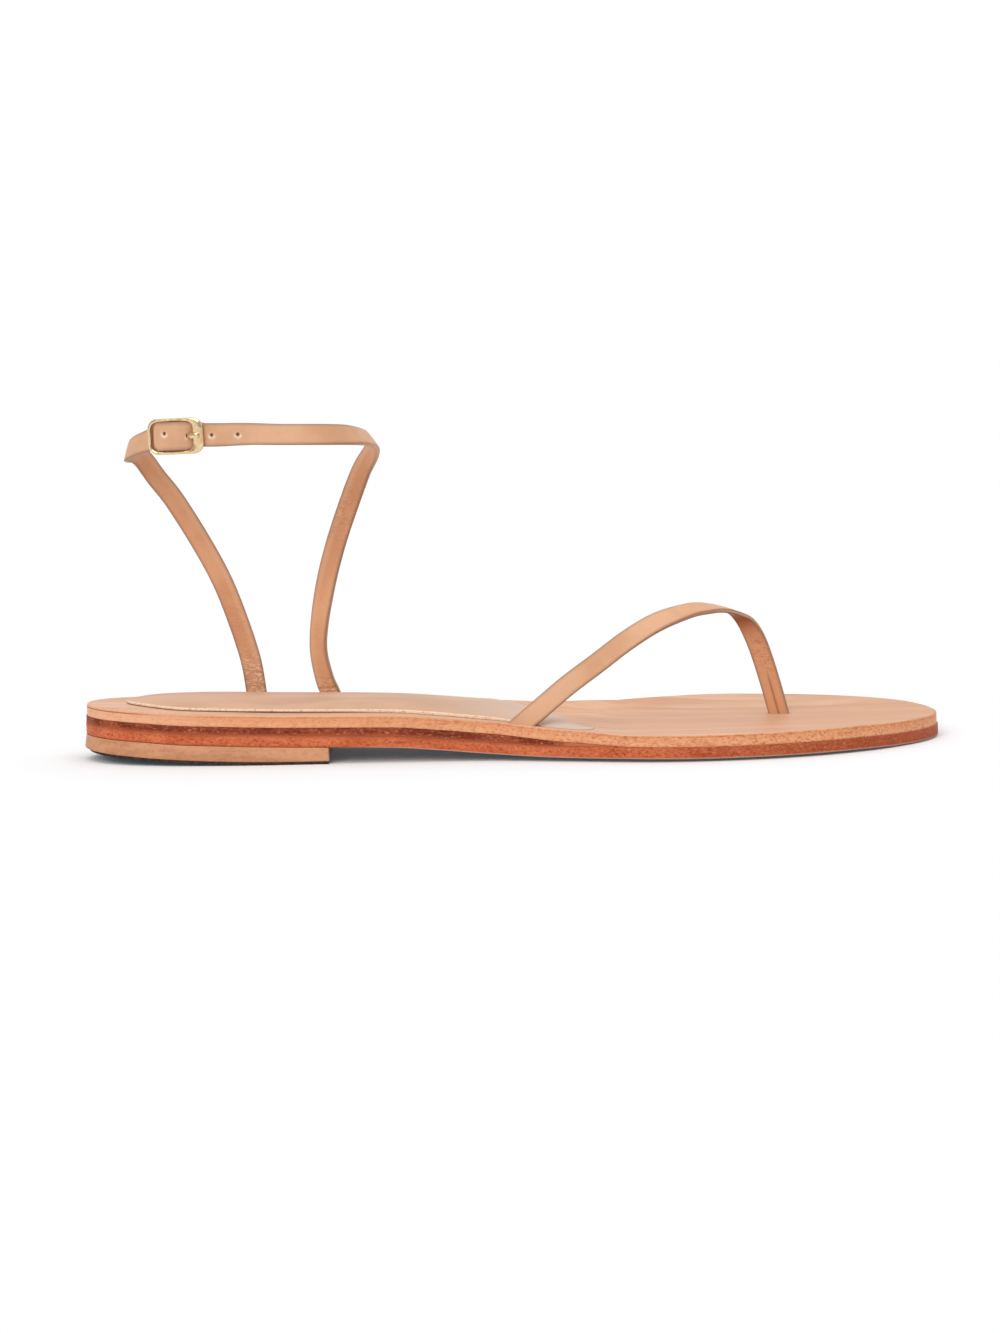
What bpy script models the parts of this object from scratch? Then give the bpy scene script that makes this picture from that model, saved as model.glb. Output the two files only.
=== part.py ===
"""A flat leather toe-post sandal for the right foot, with a buckled ankle strap.

Metres, +Z up. +X runs from heel to toe and -Y is the outer side of the foot.
The origin is on the floor, at the centre of the sandal's box.
Tables and shape functions work in millimetres from the back of the sole (x),
from the heel's centre line (y) and from the floor (z); place() turns these into world metres.
"""

import math

import bmesh
import bpy
import numpy as np
from mathutils import Vector

MM = 0.001

# Driving dimensions, in millimetres
SOLE_LENGTH = 250.0
FIT_GAP = 0.3
TOP_PIECE_THICKNESS = 0.8
HEEL_LIFT_THICKNESS = 4.4
OUTSOLE_THICKNESS = 3.4
FOOTBED_THICKNESS = 3.2
SOCK_EDGE_THICKNESS = 0.9
SOCK_PADDING = 1.3
HEEL_BREAST = 71.6
HEEL_SPRING = 1.0
HEEL_SPRING_LENGTH = 26.0
HEEL_FLARE = 0.5
WEDGE_END = 148.0
WEDGE_FADE = 8.0
STRAP_WIDTH = 6.1
STRAP_THICKNESS = 1.4
STRAP_END_THICKNESS = 0.8
STRAP_EDGE_EASE = 0.22
TIP_WIDTH_SHARE = 0.3
HOLE_RADIUS = 1.1
HOLE_PITCH = 7.6

# Insets of each layer's edge from the sole's outline
WEDGE_INSET = 0.15
FOOTBED_INSET = 0.35
TOP_PIECE_INSET = 0.1

# Sole outline: station along the sole, y of the outer edge, y of the inner edge
OUTLINE = (
    (0, 0, 0),
    (10, -17.5, 16.0),
    (28, -25.0, 23.8),
    (48, -27.5, 25.8),
    (71, -28.5, 25.0),
    (95, -29.5, 21.5),
    (119, -31.5, 20.0),
    (142, -38.0, 26.0),
    (165, -44.0, 38.0),
    (185, -44.5, 45.5),
    (205, -40.5, 46.5),
    (225, -30.5, 40.0),
    (240, -16.5, 32.0),
    (250, 8, 8),
)

# Underside of the outsole: station, height of its middle, rise of the outer edge, rise of the inner edge
HEEL_STACK = TOP_PIECE_THICKNESS + HEEL_LIFT_THICKNESS + 2 * FIT_GAP
PROFILE = (
    (0, HEEL_STACK, 0, 0),
    (74, HEEL_STACK, 0, 0),
    (92, 4.6, 0.1, 0.3),
    (116, 2.2, 0.4, 1.2),
    (139, 0.6, 0.8, 2.4),
    (155, 0, 1.0, 2.9),
    (180, 0, 0.8, 2.7),
    (207, 0, 0.8, 2.0),
    (222, 0, 0.8, 1.8),
    (238, 0.4, 0.3, 1.0),
    (250, 1.0, 0, 0),
)
FLAT_SHARE = 0.35

# Dark wedge layer: station, thickness
WEDGE = ((0, 1.7), (66, 1.9), (95, 2.1), (118, 2.1), (138, 0.9), (WEDGE_END, 0.4))

# Padded insole: its ends and how it rounds off, then station, inset from the outer edge,
# inset from the inner edge
SOCK_BACK = 12.0
SOCK_FRONT = 146.0
SOCK_NOSE = 26.0
SOCK_SKEW = 6.0
SOCK_ROUNDING = 2.4
SOCK_SKEW_POWER = 6
SOCK_CROWN_POWER = 3
SOCK_END_POWER = 8
SOCK_INSET = (
    (0, 8.5, 5.5),
    (52, 8.5, 6.0),
    (74, 8.5, 7.0),
    (95, 8.0, 6.0),
    (118, 7.4, 4.5),
    (150, 7.2, 7.0),
)

# Straps: x, y, z of the middle of the strap, then the way that its outer face looks
TOE_STRAP = (
    (128.0, -28.4, 10.4, -0.1, -0.95, 0.1),
    (132.4, -27.1, 13.8, -0.1, -0.95, 0.1),
    (140.7, -23.4, 20.2, -0.1, -0.95, 0.1),
    (149.6, -18.2, 26.2, -0.1, -0.97, 0.15),
    (158.5, -12.8, 32.3, -0.2, -0.95, 0.2),
    (167.5, -7.5, 37.0, -0.2, -0.85, 0.45),
    (176.4, -2.5, 39.5, -0.1, -0.45, 0.9),
    (181.5, 0.5, 40.0, 0, -0.2, 1),
    (186.2, 3.6, 39.5, 0.1, 0.1, 1),
    (190.9, 6.5, 37.8, 0.45, 0.3, 0.95),
    (194.6, 8.6, 34.7, 0.55, 0.65, 0.5),
    (197.5, 10.2, 29.8, 0.5, 0.85, 0.15),
    (200.2, 11.3, 23.2, 0.5, 0.87, 0),
    (202.4, 11.9, 14.8, 0.5, 0.87, 0),
    (204.3, 12.0, 7.0, 0.5, 0.87, 0),
)
FRONT_LEG = (
    (71.4, 21.0, 15.0, 0.5, 0.87, 0),
    (69.9, 21.2, 19.5, 0.55, 0.84, 0),
    (68.4, 22.0, 27.6, 0.6, 0.8, 0),
    (68.7, 23.0, 36.4, 0.55, 0.84, 0),
    (70.6, 23.8, 48.3, 0.35, 0.94, 0),
    (73.9, 23.6, 60.2, 0.3, 0.95, 0),
    (78.2, 21.0, 72.3, 0.4, 0.92, 0),
    (82.0, 15.5, 80.6, 0.6, 0.8, 0.1),
    (85.2, 7.0, 85.6, 0.9, 0.45, 0.15),
    (87.0, -3.0, 89.0, 1, -0.1, 0.2),
    (86.2, -12.5, 92.0, 0.85, -0.55, 0.2),
    (81.5, -21.2, 94.2, 0.5, -0.85, 0.05),
    (72.5, -26.5, 95.0, 0.2, -1, 0),
    (60.0, -28.8, 95.3, 0.05, -1, 0),
)
REAR_LEG = (
    (18.0, -16.5, 92.7, -0.75, -0.65, 0),
    (14.9, -7.5, 90.4, -0.97, -0.2, 0),
    (14.9, 2.5, 87.8, -0.95, 0.3, 0),
    (17.7, 11.0, 84.0, -0.7, 0.7, 0),
    (21.8, 16.5, 79.1, -0.35, 0.95, 0),
    (26.1, 19.8, 73.3, -0.15, 1, 0),
    (33.3, 22.6, 61.0, 0, 1, 0),
    (39.4, 23.4, 48.9, 0, 1, 0),
    (44.0, 23.0, 36.8, 0, 1, 0),
    (47.6, 22.3, 24.9, 0, 1, 0),
    (49.2, 22.0, 15.0, 0, 1, 0),
)

# Buckle: its middle, its turn with the ankle loop and its tilt
BUCKLE_AT = (30.0, -27.0, 95.0)
BUCKLE_TURN = math.radians(17)
BUCKLE_TILT = math.radians(2.5)
BUCKLE_LENGTH = 16.1
BUCKLE_HEIGHT = 10.2
BUCKLE_DEPTH = 1.6
BUCKLE_CORNER = 3.0
SIDE_BAR = 1.4
REAR_BAR = 1.4
FRONT_BAR = 2.3
CENTRE_BAR_RADIUS = 0.5
CENTRE_BAR_DROP = 0.9
PRONG_WIDTH = 1.3
PRONG_THICKNESS = 0.6

# Fineness of the meshes
SOLE_STATIONS = 44
HEEL_STATIONS = 16
SOCK_STATIONS = 32
ACROSS = (-1.0, -0.82, -0.6, -FLAT_SHARE, 0.0, FLAT_SHARE, 0.6, 0.82, 1.0)
STEPS_PER_ROW = 3
SHARP_ANGLE = math.radians(35)


def clear_scene():
    for obj in list(bpy.data.objects):
        bpy.data.objects.remove(obj, do_unlink=True)


def slopes_along(knots, values, monotone):
    """Slopes at the knots of a smooth curve; monotone ones never overshoot the values."""
    steps = np.diff(knots)
    rates = np.diff(values) / steps
    inner = (rates[:-1] * steps[1:] + rates[1:] * steps[:-1]) / (steps[:-1] + steps[1:])
    if monotone:
        product = rates[:-1] * rates[1:]
        total = np.where(product > 0, rates[:-1] + rates[1:], 1)
        inner = np.where(product > 0, 2 * product / total, 0)
    return np.concatenate([[rates[0]], inner, [rates[-1]]])


def smooth_curve(knots, values, monotone=True):
    """A function that runs smoothly through the values at the knots."""
    knots = np.asarray(knots, float)
    values = np.asarray(values, float)
    slopes = slopes_along(knots, values, monotone)

    def at(x):
        x = min(max(x, knots[0]), knots[-1])
        i = min(int(np.searchsorted(knots, x, side="right")) - 1, len(knots) - 2)
        step = knots[i + 1] - knots[i]
        u = (x - knots[i]) / step
        near = (1 + 2 * u) * (1 - u) ** 2 * values[i] + u * (1 - u) ** 2 * step * slopes[i]
        far = u**2 * (3 - 2 * u) * values[i + 1] - u**2 * (1 - u) * step * slopes[i + 1]
        return near + far

    return at


def turn_at(station):
    """The angle that stands for a station: 0 at the heel's back, pi at the toe."""
    share = min(max(station / SOLE_LENGTH, 0), 1)
    return math.acos(1 - 2 * share)


def closed_outline():
    """y of the outline as a smooth function of the angle round the sole, outer edge first."""
    outer = [(turn_at(row[0]), row[1]) for row in OUTLINE]
    inner = [(2 * math.pi - turn_at(row[0]), row[2]) for row in reversed(OUTLINE)]
    ring = outer + inner[1:]
    before = [(angle - 2 * math.pi, y) for angle, y in ring[-4:-1]]
    after = [(angle + 2 * math.pi, y) for angle, y in ring[1:4]]
    knots, values = zip(*(before + ring + after))
    return smooth_curve(knots, values, monotone=False)


outline_y = closed_outline()
profile_middle = smooth_curve([row[0] for row in PROFILE], [row[1] for row in PROFILE])
profile_outer = smooth_curve([row[0] for row in PROFILE], [row[2] for row in PROFILE])
profile_inner = smooth_curve([row[0] for row in PROFILE], [row[3] for row in PROFILE])
wedge_thickness = smooth_curve([row[0] for row in WEDGE], [row[1] for row in WEDGE])
sock_inset_outer = smooth_curve([row[0] for row in SOCK_INSET], [row[1] for row in SOCK_INSET])
sock_inset_inner = smooth_curve([row[0] for row in SOCK_INSET], [row[2] for row in SOCK_INSET])


def outline_point(angle, inset=0.0):
    """A point of the outline, moved inwards along the outline's normal."""
    step = 1e-4
    x = SOLE_LENGTH / 2 * (1 - math.cos(angle))
    y = outline_y(angle)
    dx = SOLE_LENGTH / 2 * math.sin(angle)
    dy = (outline_y(angle + step) - outline_y(angle - step)) / (2 * step)
    size = math.hypot(dx, dy)
    return x - inset * dy / size, y + inset * dx / size


def sole_box():
    """Lowest and highest x and y of the whole sole, with the heel's flare."""
    angles = np.linspace(0, 2 * math.pi, 720)
    points = np.array([outline_point(angle) for angle in angles])
    flared = np.array([outline_point(angle, -HEEL_FLARE) for angle in angles])
    lowest_x = flared[:, 0].min()
    return lowest_x, points[:, 0].max(), points[:, 1].min(), points[:, 1].max()


BOX = sole_box()
CENTRE_X = (BOX[0] + BOX[1]) / 2
CENTRE_Y = (BOX[2] + BOX[3]) / 2


def place(x, y, z):
    """World metres of a point given in the tables' millimetres."""
    return Vector(((x - CENTRE_X) * MM, (y - CENTRE_Y) * MM, z * MM))


def heel_spring(x):
    """How far the back of the heel curves up off the floor."""
    return HEEL_SPRING * max(0.0, 1 - x / HEEL_SPRING_LENGTH) ** 2


def across_share(x, y):
    """Place across the sole at a station: -1 on the outer edge, 1 on the inner edge."""
    angle = turn_at(x)
    outer = outline_y(angle)
    inner = outline_y(2 * math.pi - angle)
    half = max((inner - outer) / 2, 1.0)
    return min(max((y - (inner + outer) / 2) / half, -1), 1)


def edge_rise(share):
    return max(0.0, (share - FLAT_SHARE) / (1 - FLAT_SHARE)) ** 2


def sole_bottom(x, y):
    """Underside of the outsole: flat in the middle, with its edges cupped up."""
    share = across_share(x, y)
    cup = profile_outer(x) * edge_rise(-share) + profile_inner(x) * edge_rise(share)
    return profile_middle(x) + heel_spring(x) + cup


def outsole_top(x, y):
    return sole_bottom(x, y) + OUTSOLE_THICKNESS


def wedge_bottom(x, y):
    return outsole_top(x, y) + FIT_GAP


def wedge_top(x, y):
    return wedge_bottom(x, y) + wedge_thickness(x)


def footbed_bottom(x, y):
    fade = min(max((WEDGE_END + WEDGE_FADE - x) / WEDGE_FADE, 0), 1)
    return wedge_bottom(x, y) + fade * (wedge_thickness(x) + FIT_GAP)


def footbed_top(x, y):
    return footbed_bottom(x, y) + FOOTBED_THICKNESS


def mesh_object(name, vertices, faces, material):
    """A closed mesh with its faces turned outwards, as a named object."""
    mesh = bpy.data.meshes.new(name)
    mesh.from_pydata([tuple(v) for v in vertices], [], faces)
    shape = bmesh.new()
    shape.from_mesh(mesh)
    bmesh.ops.recalc_face_normals(shape, faces=shape.faces)
    shape.to_mesh(mesh)
    shape.free()
    mesh.shade_smooth()
    mesh.set_sharp_from_angle(angle=SHARP_ANGLE)
    obj = bpy.data.objects.new(name, mesh)
    bpy.context.scene.collection.objects.link(obj)
    if material:
        mesh.materials.append(material)
    return obj


def slab_object(name, bottom_rungs, top_rungs, material):
    """A layer between two sheets of points; each rung runs from the outer to the inner edge."""
    rows = len(bottom_rungs)
    columns = len(bottom_rungs[0])
    vertices = [p for rung in bottom_rungs for p in rung] + [p for rung in top_rungs for p in rung]
    upper = rows * columns

    def index(i, j):
        return i * columns + j

    faces = []
    for i in range(rows - 1):
        for j in range(columns - 1):
            cell = [index(i, j), index(i + 1, j), index(i + 1, j + 1), index(i, j + 1)]
            faces.append(cell)
            faces.append([upper + v for v in reversed(cell)])
    rim = [index(i, 0) for i in range(rows)]
    rim += [index(rows - 1, j) for j in range(1, columns)]
    rim += [index(i, columns - 1) for i in range(rows - 2, -1, -1)]
    rim += [index(0, j) for j in range(columns - 2, 0, -1)]
    for a, b in zip(rim, rim[1:] + rim[:1]):
        faces.append([a, b, upper + b, upper + a])
    return mesh_object(name, vertices, faces, material)


def sole_sheet(angles, inset, height):
    """Rungs of world points across the sole at each angle, with z from height(x, y)."""
    rungs = []
    for angle in angles:
        x0, y0 = outline_point(angle, inset)
        x1, y1 = outline_point(2 * math.pi - angle, inset)
        rung = []
        for share in ACROSS:
            x = x0 + (x1 - x0) * (share + 1) / 2
            y = y0 + (y1 - y0) * (share + 1) / 2
            rung.append(place(x, y, height(x, y)))
        rungs.append(rung)
    return rungs


def sole_angles(last_station, count):
    """Angles from just inside the heel's back to a station, or to just inside the toe."""
    end_angle = 0.07
    last = min(turn_at(last_station), math.pi - end_angle)
    return np.linspace(end_angle, last, count)


def sole_layer(name, last_station, count, insets, heights, material):
    """A layer of the sole: insets and heights are those of its lower and upper sheet."""
    angles = sole_angles(last_station, count)
    lower = sole_sheet(angles, insets[0], heights[0])
    upper = sole_sheet(angles, insets[1], heights[1])
    return slab_object(name, lower, upper, material)


def sock_rung(angle):
    """One rung of the padded insole's sheet: (x, y, share across) for each of its points."""
    middle = (SOCK_FRONT + SOCK_BACK) / 2
    x = middle - (SOCK_FRONT - SOCK_BACK) / 2 * math.cos(angle)
    nose = min(max((x - (SOCK_FRONT - SOCK_NOSE)) / SOCK_NOSE, 0), 1)
    back = min(max((SOCK_BACK + SOCK_NOSE - x) / SOCK_NOSE, 0), 1)
    closing = math.sqrt(max(1 - max(nose, back) ** SOCK_ROUNDING, 0))
    outer = outline_point(turn_at(x), sock_inset_outer(x))[1]
    inner = outline_point(2 * math.pi - turn_at(x), sock_inset_inner(x))[1]
    centre = (outer + inner) / 2
    rung = []
    for share in ACROSS:
        skew = SOCK_SKEW * share * (x / SOCK_FRONT) ** SOCK_SKEW_POWER
        rung.append((x - skew, centre + closing * share * (inner - outer) / 2, share))
    return rung


def sock_object(material):
    end_angle = 0.12
    lower = []
    upper = []
    for angle in np.linspace(end_angle, math.pi - end_angle, SOCK_STATIONS):
        along = abs(math.cos(angle)) ** SOCK_END_POWER
        rung = sock_rung(angle)
        floor = [footbed_top(x, y) + FIT_GAP for x, y, share in rung]
        crown = [1 - abs(share) ** SOCK_CROWN_POWER for x, y, share in rung]
        padding = [SOCK_PADDING * (1 - along) * full for full in crown]
        lower.append([place(x, y, z) for (x, y, share), z in zip(rung, floor)])
        upper.append([
            place(x, y, z + SOCK_EDGE_THICKNESS + pad)
            for (x, y, share), z, pad in zip(rung, floor, padding)
        ])
    return slab_object("sock_lining", lower, upper, material)


def strap_frames(rows):
    """Smooth path through a strap's rows: (point, tangent, facing, width direction, thickness)."""
    rows = np.array(rows, float)
    before = 2 * rows[0] - rows[1]
    after = 2 * rows[-1] - rows[-2]
    padded = np.vstack([before, rows, after])
    samples = []
    for i in range(1, len(padded) - 2):
        p0, p1, p2, p3 = padded[i - 1 : i + 3]
        for step in range(STEPS_PER_ROW):
            u = step / STEPS_PER_ROW
            samples.append(
                0.5 * (2 * p1 + (p2 - p0) * u + (2 * p0 - 5 * p1 + 4 * p2 - p3) * u**2
                       + (3 * p1 - p0 - 3 * p2 + p3) * u**3)
            )
    samples.append(rows[-1])
    samples = np.array(samples)
    tangents = np.gradient(samples[:, :3], axis=0)
    frames = []
    for sample, tangent in zip(samples, tangents):
        along = Vector(tangent).normalized()
        facing = Vector(sample[3:6])
        facing = (facing - along * facing.dot(along)).normalized()
        frames.append((Vector(sample[:3]), along, facing, along.cross(facing), sample[6]))
    return frames


def with_thickness(rows, thickness=STRAP_THICKNESS):
    return [tuple(row) + (thickness,) for row in rows]


def section(width, thickness):
    """Strap section with eased corners, as (across the width, along the facing) pairs."""
    half = width / 2
    deep = thickness / 2
    ease = thickness * STRAP_EDGE_EASE
    return (
        (half, deep - ease), (half - ease, deep), (ease - half, deep), (-half, deep - ease),
        (-half, ease - deep), (ease - half, -deep), (half - ease, -deep), (half, ease - deep),
    )


def cut_flush(ring, along):
    """Slides the points of a strap's end along the strap, to the underside of the footbed."""
    for _ in range(4):
        ring = [p + along * ((footbed_bottom(p.x, p.y) - p.z) / along.z) for p in ring]
    return ring


def ribbon_object(name, frames, width, material, rooted=(False, False), tip_radius=0.0):
    """A strap along its frames.

    rooted tells whether its first and last end are cut flush with the underside of the footbed.
    tip_radius rounds the last end.
    """
    last_point = frames[-1][0]
    rings = []
    for k, (point, along, facing, sideways, thickness) in enumerate(frames):
        narrow = width
        reach = (last_point - point).length
        if tip_radius and reach < tip_radius:
            short = (tip_radius - reach) / tip_radius
            narrow = width * max(math.sqrt(1 - short**2), TIP_WIDTH_SHARE)
        ring = [point + sideways * a + facing * b for a, b in section(narrow, thickness)]
        if (k == 0 and rooted[0]) or (k == len(frames) - 1 and rooted[1]):
            ring = cut_flush(ring, along)
        elif any(p.z < footbed_bottom(p.x, p.y) + FIT_GAP for p in ring):
            continue
        rings.append([place(*p) for p in ring])
    sides = len(rings[0])
    vertices = [p for ring in rings for p in ring]
    faces = [list(range(sides)), list(range(len(vertices) - sides, len(vertices)))]
    for i in range(len(rings) - 1):
        for j in range(sides):
            k = (j + 1) % sides
            faces.append([i * sides + j, i * sides + k, (i + 1) * sides + k, (i + 1) * sides + j])
    return mesh_object(name, vertices, faces, material)


def into_slot(rows, first):
    """Carries a strap's end straight down to the underside of the footbed."""
    rows = [tuple(row) for row in rows]
    end, inner = (rows[0], rows[1]) if first else (rows[-1], rows[-2])
    foot = end
    for _ in range(4):
        share = (end[2] - footbed_bottom(foot[0], foot[1])) / (inner[2] - end[2])
        foot = tuple(end[i] + (end[i] - inner[i]) * share for i in range(3)) + end[3:]
    return [foot] + rows if first else rows + [foot]


def slot_cutter(name, end_frame):
    """A bar round a strap's end, FIT_GAP larger, that cuts its slot."""
    point, along, facing, sideways, thickness = end_frame
    half_width = STRAP_WIDTH / 2 + FIT_GAP
    half_thick = thickness / 2 + FIT_GAP
    reach = 2 * STRAP_WIDTH
    vertices = []
    for t in (-reach, reach):
        for a, b in ((-1, -1), (1, -1), (1, 1), (-1, 1)):
            vertices.append(place(*(point + along * t + sideways * a * half_width + facing * b * half_thick)))
    faces = [[0, 1, 2, 3], [4, 5, 6, 7], [0, 1, 5, 4], [1, 2, 6, 5], [2, 3, 7, 6], [3, 0, 4, 7]]
    return helper(mesh_object(name, vertices, faces, None))


def helper(obj):
    """Marks an object that only shapes others."""
    obj.hide_render = True
    obj.display_type = "WIRE"
    return obj


def boolean(obj, other, operation):
    modifier = obj.modifiers.new(other.name, "BOOLEAN")
    modifier.operation = operation
    modifier.object = other
    modifier.solver = "EXACT"


def rod(name, start, end, radius, sides=16):
    """A straight round bar between two table points."""
    along = (end - start).normalized()
    across = along.orthogonal().normalized()
    third = along.cross(across)
    vertices = []
    for centre in (start, end):
        for k in range(sides):
            angle = 2 * math.pi * k / sides
            spoke = across * math.cos(angle) + third * math.sin(angle)
            vertices.append(place(*(centre + spoke * radius)))
    faces = [list(range(sides)), list(range(sides, 2 * sides))]
    for k in range(sides):
        n = (k + 1) % sides
        faces.append([k, n, sides + n, sides + k])
    return mesh_object(name, vertices, faces, None)


def buckle_axes():
    """Along the strap towards the toe, up across it, and outwards from the ankle."""
    flat = math.cos(BUCKLE_TILT)
    along = Vector((math.cos(BUCKLE_TURN) * flat, -math.sin(BUCKLE_TURN) * flat, math.sin(BUCKLE_TILT)))
    out = Vector((-math.sin(BUCKLE_TURN), -math.cos(BUCKLE_TURN), 0))
    return along, out.cross(along), out


def at_buckle(s, w, n):
    """Table point of a place on the buckle: along the strap, up across it, outwards."""
    along, up, out = buckle_axes()
    return Vector(BUCKLE_AT) + along * s + up * w + out * n


def buckle_row(s, n, lean, thickness):
    """A strap row at the buckle; lean turns its outer face along the strap."""
    along, up, out = buckle_axes()
    facing = out * math.cos(lean) + along * math.sin(lean)
    return tuple(at_buckle(s, 0, n)) + tuple(facing) + (thickness,)


def front_weave():
    """The strap's tip end: under the front bar, over the centre bar, then down to its tip."""
    under = -(BUCKLE_DEPTH / 2 + FIT_GAP + STRAP_THICKNESS / 2)
    over = loop_radius() - CENTRE_BAR_DROP + STRAP_END_THICKNESS / 2 + FIT_GAP + STRAP_THICKNESS / 2
    # place along the buckle, height of the strap's middle, lean of its face
    stops = (
        (21.0, under + 0.5, 0),
        (13.0, under, 0),
        (8.6, under - 0.1, 0),
        (6.6, under - 0.15, 0.05),
        (5.2, under + 0.15, 0.4),
        (3.9, under + 1.2, 0.7),
        (2.6, under + 2.4, 0.65),
        (1.0, over - 0.1, 0.25),
        (-0.9, over, -0.05),
        (-3.4, over - 0.55, -0.3),
        (-6.1, over - 1.5, -0.35),
    )
    return [buckle_row(s, n, lean, STRAP_THICKNESS) for s, n, lean in stops]


def loop_radius():
    """Radius of the middle of the strap's end ply, where it wraps the centre bar."""
    return CENTRE_BAR_RADIUS + FIT_GAP + STRAP_END_THICKNESS / 2


def rear_loop():
    """The rear strap's end: back under itself, round the centre bar and out below the rear bar."""
    radius = loop_radius()
    ply = STRAP_END_THICKNESS
    below = -(BUCKLE_DEPTH / 2 + FIT_GAP + ply / 2)
    # place along the buckle, height of the ply's middle, lean of its face
    tail = (
        (-9.6, below - ply - FIT_GAP - 0.4, math.pi),
        (-6.0, below - ply - FIT_GAP - 0.25, math.pi),
        (-2.6, -CENTRE_BAR_DROP - radius - 0.1, math.pi),
    )
    lead = (
        (-2.2, radius - CENTRE_BAR_DROP - 0.45, -0.3),
        (-4.4, below + 0.3, -0.2),
        (-6.4, below - 0.25, -0.05),
        (-8.6, below - 0.3, 0),
    )
    rows = [buckle_row(s, n, lean, ply) for s, n, lean in tail]
    for turn in (-90, -45, 0, 45, 90):
        angle = math.radians(turn)
        s = radius * math.cos(angle)
        n = radius * math.sin(angle) - CENTRE_BAR_DROP
        rows.append(buckle_row(s, n, math.pi / 2 - angle, ply))
    return rows + [buckle_row(s, n, lean, ply) for s, n, lean in lead]


def prong_rows():
    """The prong: from its tip on the front bar, through the strap and round the centre bar."""
    rest = BUCKLE_DEPTH / 2 + FIT_GAP + PRONG_THICKNESS / 2
    radius = CENTRE_BAR_RADIUS + FIT_GAP + PRONG_THICKNESS / 2
    # place along the buckle, height of the prong's middle, lean of its face
    stem = (
        (7.5, rest, 0),
        (6.2, rest + 0.05, -0.1),
        (5.0, rest - 0.15, -0.4),
        (4.1, 0.65, -0.6),
        (3.2, 0.0, -0.65),
        (1.9, -0.95, -0.6),
    )
    rows = [buckle_row(s, n, lean, PRONG_THICKNESS) for s, n, lean in stem]
    for turn in (-60, -100, -140, -180, -220, -260, -290):
        angle = math.radians(turn)
        s = radius * math.cos(angle)
        n = radius * math.sin(angle) - CENTRE_BAR_DROP
        rows.append(buckle_row(s, n, -math.pi / 2 - angle, PRONG_THICKNESS))
    return rows


def rounded_loop(left, right, half_height, radius, depth):
    """Points of a rounded rectangle on the buckle's plane, raised to a depth."""
    corners = (
        (right - radius, half_height - radius, 0),
        (left + radius, half_height - radius, 90),
        (left + radius, radius - half_height, 180),
        (right - radius, radius - half_height, 270),
    )
    points = []
    for s, w, start in corners:
        for turn in (0, 22.5, 45, 67.5, 90):
            angle = math.radians(start + turn)
            point = at_buckle(s + radius * math.cos(angle), w + radius * math.sin(angle), depth)
            points.append(place(*point))
    return points


def buckle_frame(material):
    half_length = BUCKLE_LENGTH / 2
    half_height = BUCKLE_HEIGHT / 2
    rear = REAR_BAR - half_length
    front = half_length - FRONT_BAR
    loops = []
    for depth in (BUCKLE_DEPTH / 2, -BUCKLE_DEPTH / 2):
        loops.append(rounded_loop(-half_length, half_length, half_height, BUCKLE_CORNER, depth))
        loops.append(rounded_loop(rear, front, half_height - SIDE_BAR, BUCKLE_CORNER - SIDE_BAR, depth))
    count = len(loops[0])
    vertices = [p for loop in loops for p in loop]
    faces = []
    for a, b in ((0, 1), (1, 3), (3, 2), (2, 0)):
        for k in range(count):
            n = (k + 1) % count
            faces.append([a * count + k, a * count + n, b * count + n, b * count + k])
    frame = mesh_object("buckle_frame", vertices, faces, material)
    bar_reach = half_height - SIDE_BAR / 2
    ends = [at_buckle(0, w, -CENTRE_BAR_DROP) for w in (-bar_reach, bar_reach)]
    boolean(frame, helper(rod("centre_bar", ends[0], ends[1], CENTRE_BAR_RADIUS)), "UNION")
    return frame


def punch_holes(strap, frames, prong_frames):
    """Punches the strap's holes: the prong's own, one towards the tip and two behind it."""
    lengths = [0.0]
    for here, there in zip(frames, frames[1:]):
        lengths.append(lengths[-1] + (there[0] - here[0]).length)
    crossings = []
    for k, (point, along, facing, sideways, thickness) in enumerate(frames):
        for prong in prong_frames:
            off = prong[0] - point
            crossings.append((off.length, lengths[k] + off.dot(along)))
    prong_hole = min(crossings)[1]
    for count in (-1, 0, 1, 2):
        wanted = prong_hole - count * HOLE_PITCH
        k = min(range(len(frames)), key=lambda i: abs(lengths[i] - wanted))
        point, along, facing, sideways, thickness = frames[k]
        point = point + along * (wanted - lengths[k])
        reach = facing * thickness
        cutter = rod(f"hole_{count + 1}", point - reach, point + reach, HOLE_RADIUS)
        boolean(strap, helper(cutter), "DIFFERENCE")


def prong_slot(strap):
    """Slits the wrapped end of the rear strap, where the prong turns on the centre bar."""
    half_width = PRONG_WIDTH / 2 + FIT_GAP
    deep = loop_radius() + STRAP_END_THICKNESS
    vertices = []
    for s in (-deep, deep):
        for w, n in ((-1, -1), (1, -1), (1, 1), (-1, 1)):
            vertices.append(place(*at_buckle(s, w * half_width, n * deep - CENTRE_BAR_DROP)))
    faces = [[0, 1, 2, 3], [4, 5, 6, 7], [0, 1, 5, 4], [1, 2, 6, 5], [2, 3, 7, 6], [3, 0, 4, 7]]
    boolean(strap, helper(mesh_object("prong_slot", vertices, faces, None)), "DIFFERENCE")


def finish(name, colour, roughness, metallic=0.0):
    """A plain Principled material."""
    material = bpy.data.materials.new(name)
    material.use_nodes = True
    shader = material.node_tree.nodes["Principled BSDF"]
    shader.inputs["Base Color"].default_value = (*colour, 1)
    shader.inputs["Roughness"].default_value = roughness
    shader.inputs["Metallic"].default_value = metallic
    material.diffuse_color = (*colour, 1)
    return material


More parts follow.
